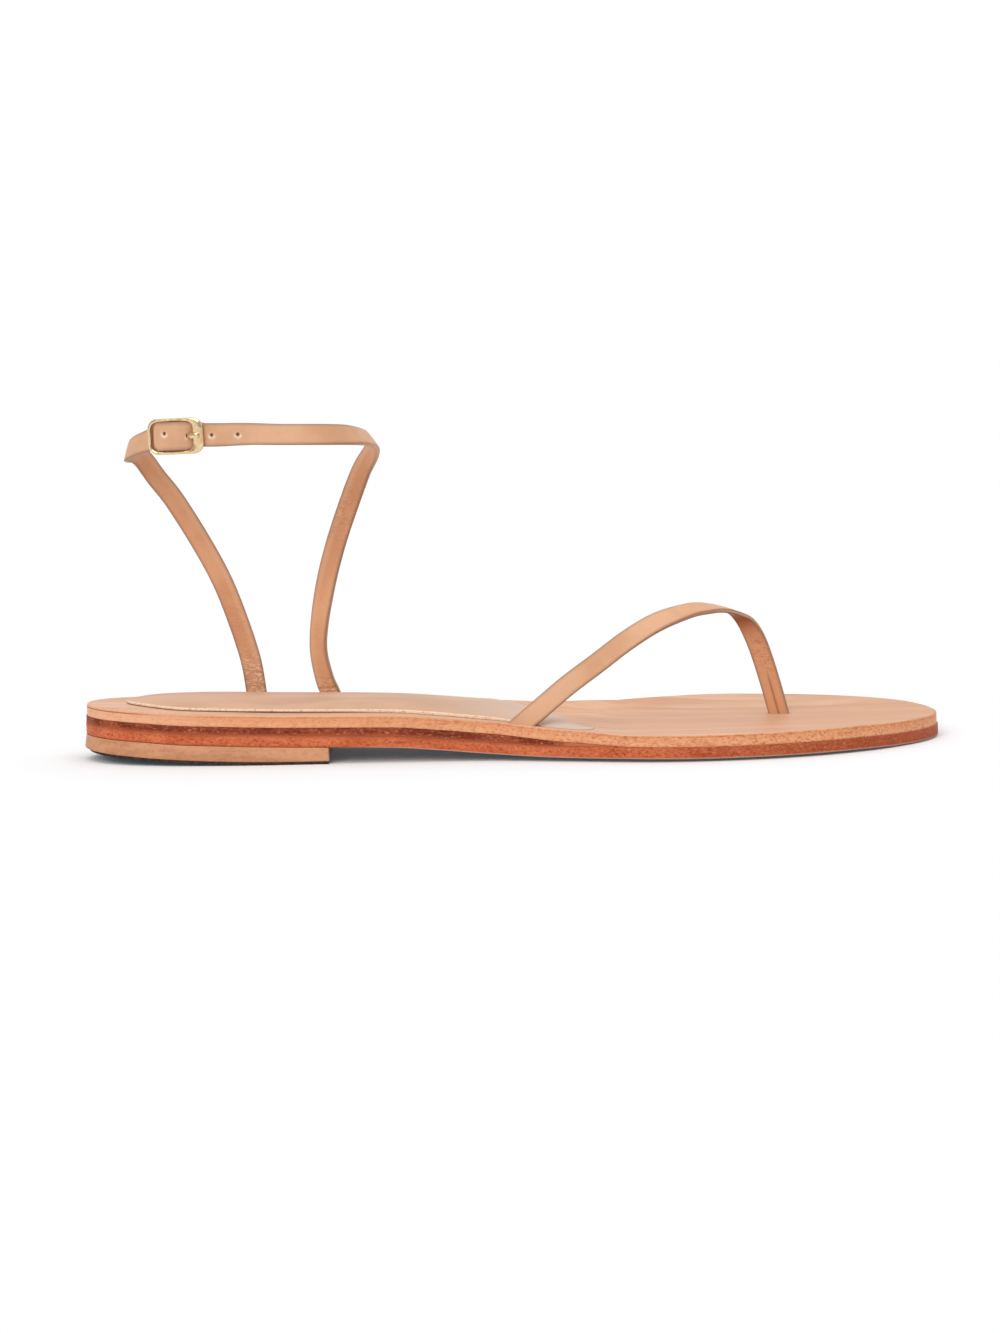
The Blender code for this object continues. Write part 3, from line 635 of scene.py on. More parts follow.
def top_piece_inset(angle):
    """Inset of the heel's rubber from the sole's outline: more round the heel's back."""
    back = np.clip(1 - station_at(angle) / TOP_PIECE_BACK_LENGTH, 0, 1)
    return TOP_PIECE_INSET - HEEL_FLARE + TOP_PIECE_BACK_INSET * back


def sole_border(last_station, rungs, inset):
    """The sole's outline up to a station, or all of it; the inset may depend on the angle."""
    whole = last_station >= SOLE_LENGTH
    inset_at = inset if callable(inset) else lambda angle: inset
    last = math.pi - END_ANGLE if whole else float(turn_at(last_station))
    angles = np.linspace(END_ANGLE, last, rungs)
    between = ACROSS[1:-1]

    def edge(angle):
        return np.column_stack(outline_point(angle, inset_at(angle)))

    outer = edge(angles)
    inner = edge(math.tau - angles)[::-1]
    if whole:
        far = edge(math.pi + between * END_ANGLE)
    else:
        part = ((between + 1) / 2)[:, None]
        far = outer[-1] * (1 - part) + inner[0] * part
    near = edge(-between[::-1] * END_ANGLE)
    return border_from(np.vstack([outer, far, inner, near]))


def build_sole():
    """Heel, outsole, wedge and footbed; the footbed comes back for its slots."""
    layer(
        "heel_top_piece", "heel_rubber", rubber_look(), sole_border(HEEL_BREAST, HEEL_RUNGS, top_piece_inset),
        (heel_bottom, raised(heel_bottom, TOP_PIECE_THICKNESS)),
        (rounded_edge(0.2), rounded_edge(0.1)), seed=5, uneven=0.06,
    )
    layer(
        "heel_lift", "heel_leather", heel_look(), sole_border(HEEL_BREAST, HEEL_RUNGS, -HEEL_FLARE / 2),
        (raised(heel_bottom, TOP_PIECE_THICKNESS + SEAM), raised(sole_bottom, -SEAM)),
        (flared(rounded_edge(0.45), -HEEL_FLARE / 2), flared(rounded_edge(0.12), HEEL_FLARE / 2)),
        seed=2, uneven=0.03,
    )
    layer(
        "outsole", "sole_leather", outsole_look(), sole_border(SOLE_LENGTH, SOLE_RUNGS, 0),
        (sole_bottom, outsole_top), (rounded_edge(0.55), rounded_edge(0.15)), seed=3,
    )
    layer(
        "midsole_wedge", "wedge_leather", wedge_look(),
        sole_border(WEDGE_END + WEDGE_FADE_SHOWN, SOLE_RUNGS, WEDGE_INSET), (wedge_bottom, wedge_top),
        (rounded_edge(0.06, 2), rounded_edge(0.06, 2)), seed=4, uneven=0.07,
    )
    return layer(
        "footbed", "footbed_leather", footbed_look(), sole_border(SOLE_LENGTH, SOLE_RUNGS, FOOTBED_INSET),
        (footbed_bottom, footbed_top), (rounded_edge(0.12, 2), rounded_edge(0.5, 5) + FOOTBED_GROOVE), seed=6,
    )


def build_sock():
    """The padded insole, its edge standing a little off the footbed."""
    turns = np.linspace(END_ANGLE, math.pi - END_ANGLE, SOCK_RUNGS)
    x = (SOCK_FRONT + SOCK_BACK) / 2 - (SOCK_FRONT - SOCK_BACK) / 2 * np.cos(turns)
    nose = np.clip((x - (SOCK_FRONT - SOCK_NOSE)) / SOCK_NOSE, 0, 1)
    back = np.clip((SOCK_BACK + SOCK_NOSE - x) / SOCK_NOSE, 0, 1)
    closing = np.sqrt(np.maximum(1 - np.maximum(nose, back) ** SOCK_ROUNDING, 0))
    outer = outline_point(turn_at(x), sock_inset_outer(x))[1]
    inner = outline_point(math.tau - turn_at(x), sock_inset_inner(x))[1]
    lean = SOCK_SKEW * (x / SOCK_FRONT) ** SOCK_SKEW_POWER
    wide = closing * (inner - outer) / 2
    middle = (outer + inner) / 2 - SOCK_NOSE_SHIFT * nose**2 * (inner - outer) / 2
    grid = np.dstack([
        x[:, None] - lean[:, None] * ACROSS,
        middle[:, None] + wide[:, None] * ACROSS,
    ])
    along = np.abs(np.cos(turns)) ** SOCK_END_POWER
    crown = SOCK_PADDING * np.outer(1 - along, 1 - np.abs(ACROSS) ** SOCK_CROWN_POWER)

    def under(px, py):
        return footbed_top(px, py) + SEAM + sock_lift(px)

    def over(px, py):
        thin = np.clip((px - SOCK_THIN_FROM) / SOCK_THIN_LENGTH, 0, 1)
        edge = SOCK_EDGE_THICKNESS * (1 - thin) + SOCK_FRONT_THICKNESS * thin
        return footbed_top(px, py) + FIT_GAP * (1 - thin / 2) + edge

    sock = layer(
        "sock_lining", "insole_leather", sock_look(), border_from(rim(grid)), (under, over),
        (rounded_edge(0.12, 2), rounded_edge(0.32)), crown=crown, seed=7, uneven=0.06,
    )


# Straps

def strap_path(rows, steps=STRAP_STEPS):
    """Smooth path through a strap's rows: points, directions, thicknesses and distances at each point."""
    knots = np.arange(len(rows))
    places = np.arange(knots[-1] * steps + 1) / steps
    samples = [smooth_curve(knots, column, monotone=False)(places) for column in zip(*rows)]
    samples = np.column_stack(samples)
    points = samples[:, :3]
    along = unit(np.gradient(points, axis=0))
    facing = samples[:, 3:6]
    facing = unit(facing - along * (facing * along).sum(1)[:, None])
    length = distance_along(points)
    return {
        "points": points, "along": along, "facing": facing, "sideways": np.cross(along, facing),
        "thickness": samples[:, 6], "length": length, "to_end": length[-1] - length,
    }


def swept(path, across, height):
    """Points and faces of a section carried along a path, from its places across and off the path."""
    points = (
        path["points"][:, None, :]
        + path["sideways"][:, None, :] * across[..., None]
        + path["facing"][:, None, :] * height[..., None]
    )
    return points.reshape(-1, 3), tube_faces(*across.shape)


def root_row(end, inner):
    """The row below a strap's end, straight on into its slot in the footbed."""
    foot = end
    for _ in range(ROOT_STEPS):
        floor = float(footbed_top(foot[0], foot[1])) - ROOT_DEPTH
        share = (end[2] - floor) / (inner[2] - end[2])
        foot = tuple(end[i] + (end[i] - inner[i]) * share for i in range(3)) + end[3:]
    return foot


def rooted(rows, first=False, last=False):
    """A strap's rows with their thickness, and with roots at its first or last end."""
    rows = [row + (STRAP_THICKNESS,) for row in rows]
    if first:
        rows.insert(0, root_row(rows[0], rows[1]))
    if last:
        rows.append(root_row(rows[-1], rows[-2]))
    return rows


def strap_section():
    """Points of a strap's section, once round, in four columns.

    They are the share of the flat's half width, the cosine and sine of the turn round a corner, and how
    far the edge is shaded. A flat's own points have a cosine of 0.
    """
    rows = []
    for side in (1, -1):
        for share in FACE_SHARES:
            rows.append((side * share, 0.0, side, FACE_BORDER_SHADE * (abs(share) == 1)))
        for turn, shade in EDGE_SHADE:
            angle = math.radians(turn)
            rows.append((side, side * math.cos(angle), side * math.sin(angle), shade))
    return np.array(rows, float).T


def near_buckle(points, close, far):
    """1 by the buckle's middle, easing to 0 between two distances from it."""
    away = np.linalg.norm(points - np.array(BUCKLE_AT), axis=1)
    share = np.clip((far - away) / (far - close), 0, 1)
    return share**2 * (3 - 2 * share)


def half_widths(path, widening, tipped):
    """Half a strap's width along its path: more by the buckle, less at a rounded tip."""
    half = np.full(len(path["points"]), STRAP_WIDTH / 2)
    for growth, close, far in widening:
        half = half + growth * near_buckle(path["points"], close, far)
    if tipped:
        short = np.clip(TIP_CORNER - path["to_end"], 0, TIP_CORNER)
        half = half - TIP_CORNER + np.sqrt(TIP_CORNER**2 - short**2)
    return half[:, None]


def stretches(length, rows):
    """Strength along a strap, from rows of a stretch's middle, half length and strength."""
    return sum((strength * bell(length - middle, reach) for middle, reach, strength in rows), 0 * length)


def strap_piece(node, path, material, creases, wrinkle_reach, root_first=True, tipped=False, pale=False,
                fold_length=0.0, widening=(), dimples=(), deep=(), soft=(), cracks=()):
    """A strap with rounded edges, creases near its root and a seam along its inner face.

    wrinkle_reach is how far wrinkles and their painted shade reach from the root, fold_length the seam's
    length from the far end.
    A pale strap has a pale band along its lining, and dimples are places of holes along and across it,
    each with a painted highlight round it.
    """
    share, corner_cos, corner_sin, shade = strap_section()
    from_root = path["length" if root_first else "to_end"][:, None]
    thickness = path["thickness"][:, None]
    radius = np.minimum(STRAP_EDGE_RADIUS, thickness * STRAP_EDGE_SHARE)
    across = share * (half_widths(path, widening, tipped) - radius) + corner_cos * radius
    height = np.sign(corner_sin) * (thickness / 2 - radius) + corner_sin * radius
    inner = (corner_cos == 0) & (corner_sin < 0)
    outer = (corner_cos == 0) & (corner_sin > 0)
    height = height + outer * STRAP_DOME * (1 - share**2)
    fold = np.clip((fold_length - path["to_end"]) / SEAM_FADE, 0, 1)[:, None]
    seam = inner * fold * bell(across, SEAM_HALF_WIDTH)
    height = height + SEAM_DEPTH * seam
    for distance, depth, width, slant in creases:
        off = from_root - distance - slant * across
        trough = bell(off, width) - CREASE_RIDGE * bell(off - CREASE_RIDGE_AT * width, width)
        shown = (inner - CREASE_ON_FACE * outer) * (1 - CREASE_EDGE_LOSS * share**2)
        height = height + depth * trough * shown
    ring = np.zeros_like(across)
    for distance, middle in dimples:
        off = np.hypot(path["length"][:, None] - distance, across - middle)
        height = height - outer * HOLE_DIMPLE * bell(off, HOLE_DIMPLE_RADIUS)
        # painted highlight: a pale ring round the hole, strongest on its lower side
        lower = np.clip(0.5 - (across - middle) / (2 * HOLE_RADIUS), HOLE_HIGHLIGHT_LEAST, 1)
        ring = ring + outer * lower * bell(off - HOLE_HIGHLIGHT_RADIUS, HOLE_HIGHLIGHT_WIDTH)
    values = {
        "lining": (1 - corner_sin) / 2,
        "rim": shade * (1 - stretches(from_root, soft) * (across < 0)),
        # near the root: wrinkles with painted shade and highlights
        "worn": np.clip(WRINKLE_START - from_root / wrinkle_reach, 0, 1),
        "pale": pale * np.clip((across - PALE_FROM) / PALE_FADE, 0, 1),
        "seam": seam,
        # painted shade on the lining near the toe post's top
        "deep": stretches(from_root, deep),
        "ring": np.clip(ring, 0, 1),
        # fine marks along the lining's folds, partly crackle and partly painted shade
        "cracked": stretches(from_root, cracks),
    }
    values = {key: np.broadcast_to(value, across.shape).ravel() for key, value in values.items()}
    return piece(node, "strap_leather", material, *swept(path, across, height), values, sharp=60)


def slot_bar(path, index):
    """A cutter for the slot round a strap's end, a little larger than the strap."""
    point = path["points"][index]
    upward = path["along"][index] * (1 if index == 0 else -1)
    wide = path["sideways"][index] * (STRAP_WIDTH / 2 + SLOT_ROOM)
    deep = path["facing"][index] * (path["thickness"][index] / 2 + SLOT_ROOM)
    return bar_cutter(point - upward * 2 * SLOT_ROOM, point + upward * 2 * STRAP_WIDTH, wide, deep)


# Buckle

def buckle_axes():
    """Along the strap towards the toe, up across it, and outwards from the ankle."""
    flat = math.cos(BUCKLE_TILT)
    along = np.array([math.cos(BUCKLE_TURN) * flat, -math.sin(BUCKLE_TURN) * flat, math.sin(BUCKLE_TILT)])
    out = np.array([-math.sin(BUCKLE_TURN), -math.cos(BUCKLE_TURN), 0.0])
    return along, np.cross(out, along), out


ALONG, UP, OUT = buckle_axes()


def at_buckle(s, w, n):
    """Table points of places on the buckle: along the strap, up across it, outwards."""
    s, w, n = np.broadcast_arrays(s, w, n)
    return np.array(BUCKLE_AT) + s[..., None] * ALONG + w[..., None] * UP + n[..., None] * OUT


def buckle_row(thickness, s, n, lean, w=0.0, tilt=0.0):
    """A strap row at the buckle; lean turns its outer face along the strap, tilt turns it up."""
    facing = OUT * math.cos(lean) + ALONG * math.sin(lean) + UP * tilt
    return tuple(at_buckle(s, w, n)) + tuple(facing) + (thickness,)


def round_bar(thickness, turns, first_lean):
    """Rows round the centre bar; first_lean is the lean of the outer face at a turn of 0."""
    radius = CENTRE_BAR_RADIUS + FIT_GAP + thickness / 2
    rows = []
    for angle in np.radians(turns):
        s = radius * math.cos(angle)
        n = radius * math.sin(angle) - CENTRE_BAR_DROP
        rows.append(buckle_row(thickness, s, n, first_lean - angle))
    return rows


def front_weave():
    """The strap's tip end: under the front bar, over the centre bar, then down to its tip."""
    under = -(BUCKLE_DEPTH / 2 + FIT_GAP + STRAP_THICKNESS / 2)
    over = LOOP_RADIUS - CENTRE_BAR_DROP + STRAP_END_THICKNESS / 2 + FIT_GAP + STRAP_THICKNESS / 2
    # place along the buckle, height of the strap's middle, lean of its face, place up across
    stops = (
        (21.0, under - 1.2, 0, -0.45),
        (13.0, under, 0, -0.25),
        (8.6, under - 0.1, 0, -0.1),
        (6.6, under - 0.15, 0.05, 0),
        (5.2, under + 0.15, 0.4, 0),
        (3.9, under + 1.2, 0.7, 0),
        (2.6, under + 2.4, 0.65, 0),
        (1.0, over - 0.1, 0.25, 0.07),
        (-0.9, over, -0.05, 0.07),
        (-3.4, over - 0.55, -0.3, 0.07),
        (-4.8, over - 1.03, -0.34, 0.07),
        (-5.6, over - 1.32, -0.35, 0.07),
        (-5.9, over - 1.43, -0.35, 0.07),
        (-6.1, over - 1.5, -0.35, 0.07),
    )
    return [buckle_row(STRAP_THICKNESS, *stop) for stop in stops]


def rear_loop():
    """The rear strap's end: back under itself, round the centre bar and out below the rear bar."""
    ply = STRAP_END_THICKNESS
    below = -(BUCKLE_DEPTH / 2 + FIT_GAP + ply / 2)
    # place along the buckle, height of the ply's middle, lean of its face, place up across, tilt
    tail = (
        (-9.6, below - ply - FIT_GAP - 0.25, math.pi, -0.95, -0.15),
        (-6.0, below - ply - FIT_GAP - 0.1, math.pi, -0.2, -0.08),
        (-2.6, -CENTRE_BAR_DROP - LOOP_RADIUS - 0.1, math.pi, -0.15, 0),
    )
    lead = (
        (-2.2, LOOP_RADIUS - CENTRE_BAR_DROP - 0.45, -0.3, -0.1, 0),
        (-4.4, below + 0.3, -0.2, -0.06, 0.04),
        (-6.4, below - 0.25, -0.05, -0.2, 0.08),
        (-8.6, below - 0.3, 0, -0.85, 0.14),
    )
    rows = []
    for x, y, z, *facing in REAR_LEG[1::-1]:
        facing = unit(np.array(facing))
        inside = np.array([x, y, z + END_PLY_RISE]) - facing * (STRAP_THICKNESS / 2 + ply / 2 + SEAM)
        rows.append(tuple(inside) + tuple(-facing) + (ply,))
    rows += [buckle_row(ply, *stop) for stop in tail]
    rows += round_bar(ply, (-90, -45, 0, 45, 90), math.pi / 2)
    return rows + [buckle_row(ply, *stop) for stop in lead]


def prong_rows():
    """The prong: from its tip on the front bar, through the strap and round the centre bar."""
    rest = BUCKLE_DEPTH / 2 + FIT_GAP + PRONG_THICKNESS / 2
    # place along the buckle, height of the prong's middle, lean of its face
    stem = (
        (7.5, rest, 0),
        (6.2, rest + 0.05, -0.1),
        (5.0, rest - 0.15, -0.4),
        (4.1, 0.65, -0.6),
        (3.2, 0.0, -0.65),
        (1.9, -0.95, -0.6),
    )
    rows = [buckle_row(PRONG_THICKNESS, *stop) for stop in stem]
    return rows + round_bar(PRONG_THICKNESS, (-60, -100, -140, -180, -220, -260, -290), -math.pi / 2)


def rounded_loop(left, right, half_height, radius, corner_steps=14, side_steps=10):
    """(s, w) points of a rounded rectangle, evenly spread along its corners and sides."""
    first, last, high = right - radius, left + radius, half_height - radius
    corners = ((first, high, 0), (last, high, 90), (last, -high, 180), (first, -high, 270))
    arcs = []
    for s, w, start in corners:
        turns = np.radians(start + np.linspace(0, 90, corner_steps + 1))
        arcs.append(np.column_stack([s + radius * np.cos(turns), w + radius * np.sin(turns)]))
    shares = (np.arange(1, side_steps) / side_steps)[:, None]
    points = []
    for arc, following in zip(arcs, arcs[1:] + arcs[:1]):
        points += [arc, arc[-1] * (1 - shares) + following[0] * shares]
    return np.vstack(points)


def squared_ring(sides, squareness):
    """Places across and up on a circle pressed towards a square."""
    turns = np.linspace(0, math.tau, sides, endpoint=False)
    return [np.sign(wave) * np.abs(wave) ** squareness for wave in (np.cos(turns), np.sin(turns))]


def build_buckle_frame(material):
    """The frame as a rounded bar swept round its loop, with the centre bar joined in."""
    half_length = BUCKLE_LENGTH / 2
    half_height = BUCKLE_HEIGHT / 2
    outer = rounded_loop(-half_length, half_length, half_height, BUCKLE_CORNER)
    inner = rounded_loop(
        REAR_BAR - half_length, half_length - FRONT_BAR, half_height - SIDE_BAR, BUCKLE_CORNER - SIDE_BAR
    )
    reach, rise = squared_ring(FRAME_SIDES, BUCKLE_SQUARENESS)
    share = ((reach + 1) / 2)[None, :, None]
    flat = inner[:, None, :] * (1 - share) + outer[:, None, :] * share
    points = at_buckle(flat[..., 0], flat[..., 1], rise * BUCKLE_DEPTH / 2)
    rings = np.arange(points.size // 3).reshape(len(outer), FRAME_SIDES)
    faces = bands(np.vstack([rings, rings[:1]]))
    obj = piece("buckle_frame", "buckle_brass", material, points.reshape(-1, 3), faces, {})
    bar_reach = half_height - SIDE_BAR / 2
    low, high = (at_buckle(0.0, w, -CENTRE_BAR_DROP) for w in (-bar_reach, bar_reach))
    cut(obj, [rod_cutter(low, high, CENTRE_BAR_RADIUS, BAR_SIDES)], "UNION")


def build_prong(material):
    """The prong: a flat rounded wire, eased at its tip."""
    path = strap_path(prong_rows(), PRONG_STEPS)
    reach, rise = squared_ring(PRONG_SIDES, PRONG_SQUARENESS)
    ease = np.clip(1 - path["length"] / PRONG_TIP_LENGTH, 0, 1)
    size = np.sqrt(np.maximum(1 - ease**2, PRONG_TIP_LEAST))[:, None]
    shape = swept(path, reach * PRONG_WIDTH / 2 * size, rise * PRONG_THICKNESS / 2 * size)
    piece("buckle_prong", "buckle_brass", material, *shape, {})


# Straps in their places

def hole_places(path):
    """Places of the tip end's holes along and across it: one ahead of the prong's own, two behind it."""
    prong = strap_path(prong_rows())["points"]
    off = prong[None, :, :] - path["points"][:, None, :]
    nearest = np.unravel_index(np.linalg.norm(off, axis=2).argmin(), off.shape[:2])
    prong_hole = path["length"][nearest[0]] + off[nearest] @ path["along"][nearest[0]]
    start = prong_hole - PRONG_HOLE_SHIFT
    return [(start - count * HOLE_PITCH + ahead, across) for count, ahead, across in HOLES]


def hole_rods(path, places):
    """Cutters for the holes: the prong's goes through, the others have closed up behind."""
    rods = []
    for (place, across), (count, *_) in zip(places, HOLES):
        k = int(np.abs(path["length"] - place).argmin())
        point = path["points"][k] + path["along"][k] * (place - path["length"][k])
        point = point + path["sideways"][k] * across
        reach = path["facing"][k] * path["thickness"][k]
        inward = path["facing"][k] * HOLE_FLOOR if count else reach
        radius = HOLE_RADIUS if count else PRONG_HOLE_RADIUS
        rods.append(rod_cutter(point - inward, point + reach, radius, HOLE_SIDES))
    return rods


def build_straps(footbed):
    """Toe strap and both ends of the ankle strap, each in its slot in the footbed."""
    material = strap_look()
    toe = strap_path(rooted(TOE_STRAP, first=True, last=True))
    strap_piece(
        "toe_strap", toe, material, TOE_CREASES, TOE_WRINKLE_REACH, fold_length=TOE_SEAM_LENGTH,
        deep=TOE_PAINTED_SHADE, cracks=TOE_CRACKS,
    )

    front = strap_path(rooted(FRONT_LEG, first=True) + front_weave(), FINE_STRAP_STEPS)
    places = hole_places(front)
    tip_end = strap_piece(
        "ankle_strap_front", front, material, FRONT_CREASES, FRONT_WRINKLE_REACH, tipped=True, pale=True,
        widening=FRONT_WIDENING, dimples=places, soft=FRONT_SOFT, cracks=FRONT_CRACKS,
    )
    cut(tip_end, hole_rods(front, places))

    rear = strap_path(rear_loop() + rooted(REAR_LEG, last=True))
    loop_end = strap_piece(
        "ankle_strap_rear", rear, material, REAR_CREASES, REAR_WRINKLE_REACH, root_first=False, pale=True,
        widening=REAR_WIDENING, cracks=REAR_CRACKS,
    )
    deep = LOOP_RADIUS + STRAP_END_THICKNESS
    middle = at_buckle(0.0, 0.0, -CENTRE_BAR_DROP)
    wide = UP * (PRONG_WIDTH / 2 + FIT_GAP)
    cut(loop_end, [bar_cutter(middle - ALONG * deep, middle + ALONG * deep, wide, OUT * deep)])
    cut(footbed, [slot_bar(toe, 0), slot_bar(toe, -1), slot_bar(front, 0), slot_bar(rear, -1)])


# Materials

def srgb(shade):
    """A shader's colour from the 0 to 255 values that it should show, less the studio's extra light."""
    value = np.array(shade) / 255
    linear = np.where(value <= 0.04045, value / 12.92, ((value + 0.055) / 1.055) ** 2.4)
    return (*(linear * ALBEDO), 1.0)


class Nodes:
    """A node tree and short ways to add to it; inputs take sockets or plain values."""

    def __init__(self, owner):
        owner.use_nodes = True
        self.tree = owner.node_tree

    def node(self, kind, inputs, **settings):
        made = self.tree.nodes.new("ShaderNode" + kind)
        for key, value in settings.items():
            setattr(made, key, value)
        for key, value in inputs.items():
            self.feed(made.inputs[key], value)
        return made

    def feed(self, socket, value):
        if isinstance(value, bpy.types.NodeSocket):
            self.tree.links.new(value, socket)
        else:
            socket.default_value = value


class Look(Nodes):
    """A material; its shades are the 0 to 255 values that it should show."""

    def __init__(self, name, roughness=0.5, specular=0.5, metallic=0.0):
        self.material = bpy.data.materials.new(name)
        super().__init__(self.material)
        self.shader = self.tree.nodes["Principled BSDF"]
        self.shader.inputs["Specular IOR Level"].default_value = specular
        self.to_shader(roughness=roughness, metallic=metallic)
        self.normal = None

    def to_shader(self, **inputs):
        for key, value in inputs.items():
            self.feed(self.shader.inputs[key.replace("_", " ").title()], value)

    def noise(self, stretch, detail=3.0, roughness=0.55, distortion=0.0):
        """Noise on the object; stretch is its turns per millimetre along each axis."""
        place = self.node("TexCoord", {}).outputs["Object"]
        scale = tuple(s / MM for s in stretch)
        place = self.node("VectorMath", {0: place, 1: scale}, operation="MULTIPLY").outputs[0]
        inputs = {"Scale": 1.0, "Detail": detail, "Roughness": roughness, "Distortion": distortion}
        return self.node("TexNoise", {"Vector": place, **inputs}).outputs["Fac"]

    def folds(self, stretch):
        """How far a place is from the winding lines between small folds, for wrinkled leather."""
        swell = self.noise(stretch, detail=2, roughness=0.5, distortion=1.2)
        return self.compute("ABSOLUTE", self.compute("SUBTRACT", swell, 0.5), 0.0)

    def flecks(self, stretch):
        """Fibres of a cut leather edge: their height, and where they are dark or light."""
        fine = self.noise(stretch, detail=4, roughness=0.7)
        return fine, self.ramp(fine, 0.5, 0.36), self.ramp(fine, 0.54, 0.68)

    def kept(self, name):
        """A number kept at the mesh's points."""
        return self.node("Attribute", {}, attribute_name=name).outputs["Fac"]

    def geometry(self, output, axis):
        """One axis of the place, in metres, or of the normal, in the world."""
        whole = self.node("NewGeometry", {}).outputs[output]
        return self.node("SeparateXYZ", {0: whole}).outputs[axis]

    def ramp(self, value, low, high, start=0.0, end=1.0):
        inputs = {"Value": value, "From Min": low, "From Max": high, "To Min": start, "To Max": end}
        return self.node("MapRange", inputs, interpolation_type="SMOOTHSTEP").outputs["Result"]

    def along(self, low, high, start=0.0, end=1.0):
        """A ramp along the sole, between two places in metres from its middle."""
        return self.ramp(self.geometry("Position", "X"), low, high, start, end)

    def compute(self, operation, a, b):
        return self.node("Math", {0: a, 1: b}, operation=operation).outputs[0]

    def frayed(self, value, fibres, size):
        """A value shifted by fibres, so that a ramp of it has an uneven border."""
        return self.compute("ADD", value, self.times(fibres, size))

    def times(self, first, *others):
        for other in others:
            first = self.compute("MULTIPLY", first, other)
        return first

    def blend(self, share, a, b):
        return self.node("Mix", {0: share, 6: a, 7: b}, data_type="RGBA", blend_type="MIX").outputs[2]

    def tones(self, value, low, high, first, second):
        """From one shade to another where a value goes from low to high."""
        return self.blend(self.ramp(value, low, high), srgb(first), srgb(second))

    def tinted(self, colour, *layers):
        """A colour under layers of shades; the product of a layer's other entries is its share."""
        for shade, *factors in layers:
            colour = self.blend(self.times(*factors), colour, srgb(shade))
        return colour

    def relief(self, height, depth):
        """Adds bumps of a depth in millimetres to the shader's normal."""
        inputs = {"Height": height, "Distance": depth * MM, "Strength": 1.0}
        if self.normal:
            inputs["Normal"] = self.normal
        self.normal = self.node("Bump", inputs).outputs["Normal"]
        self.to_shader(normal=self.normal)

    def finish(self, colour, *reliefs, **inputs):
        """The material with its colour, bumps as pairs of height and depth, and other inputs."""
        self.to_shader(base_color=colour, **inputs)
        for height, depth in reliefs:
            self.relief(height, depth)
        return self.material


def strap_look():
    """Smooth tan leather, with a deeper tan lining, dark edges and wrinkles near the roots.

    Painted shade darkens the face near the roots, the creases between wrinkles and the toe post's lining
    near its top; painted highlights lighten the wrinkles' swells and a ring round each hole.
    """
    look = Look("strap leather", specular=0.25)
    clouds = look.noise((0.045, 0.045, 0.045))
    pores = look.noise((2.4, 2.4, 2.4), detail=2)
    wrinkles = look.folds((0.42, 0.42, 0.95))
    inside = look.ramp(look.kept("lining"), 0.55, 0.85)
    worn = look.times(look.kept("worn"), inside)
    face = look.tinted(
        look.tones(clouds, 0.38, 0.62, (214, 161, 123), (226, 175, 138)),
        # painted shade on the face near the root, where the strap meets the footbed
        ((186, 118, 80), look.kept("worn"), 0.3),
    )
    lining = look.tinted(
        look.tones(clouds, 0.38, 0.62, (213, 150, 109), (225, 165, 124)),
        ((226, 172, 134), look.kept("pale"), 0.65),
        # painted shade on the toe post's lining near its top
        ((158, 86, 56), look.kept("deep"), 0.95),
        ((140, 84, 56), look.kept("seam"), 0.6),
        # lighter lining near the root
        ((248, 195, 157), look.kept("worn"), 0.6),
    )
    colour = look.tinted(
        look.blend(inside, face, lining),
        # painted shade in the creases between the wrinkles
        ((166, 102, 70), worn, look.ramp(wrinkles, 0.045, 0.0), 0.6),
        # painted highlight on the wrinkles' swells
        ((244, 190, 154), worn, look.ramp(wrinkles, 0.04, 0.13), 0.8),
        # dark lines along the folds, partly crackle marks and partly painted shade in them
        ((176, 112, 80), look.kept("cracked"), inside, look.ramp(wrinkles, 0.04, 0.0)),
        ((136, 106, 88), look.kept("rim"), 0.8),
        # painted highlight round the holes
        ((255, 232, 206), look.kept("ring"), 0.95),
        ((180, 120, 86), look.ramp(pores, 0.42, 0.7, 0.0, 0.12)),
    )
    swells = look.times(worn, look.ramp(wrinkles, 0.0, 0.12))
    gloss = look.ramp(clouds, 0.3, 0.7, 0.42, 0.54)
    return look.finish(colour, (pores, 0.025), (swells, 0.25), roughness=gloss)


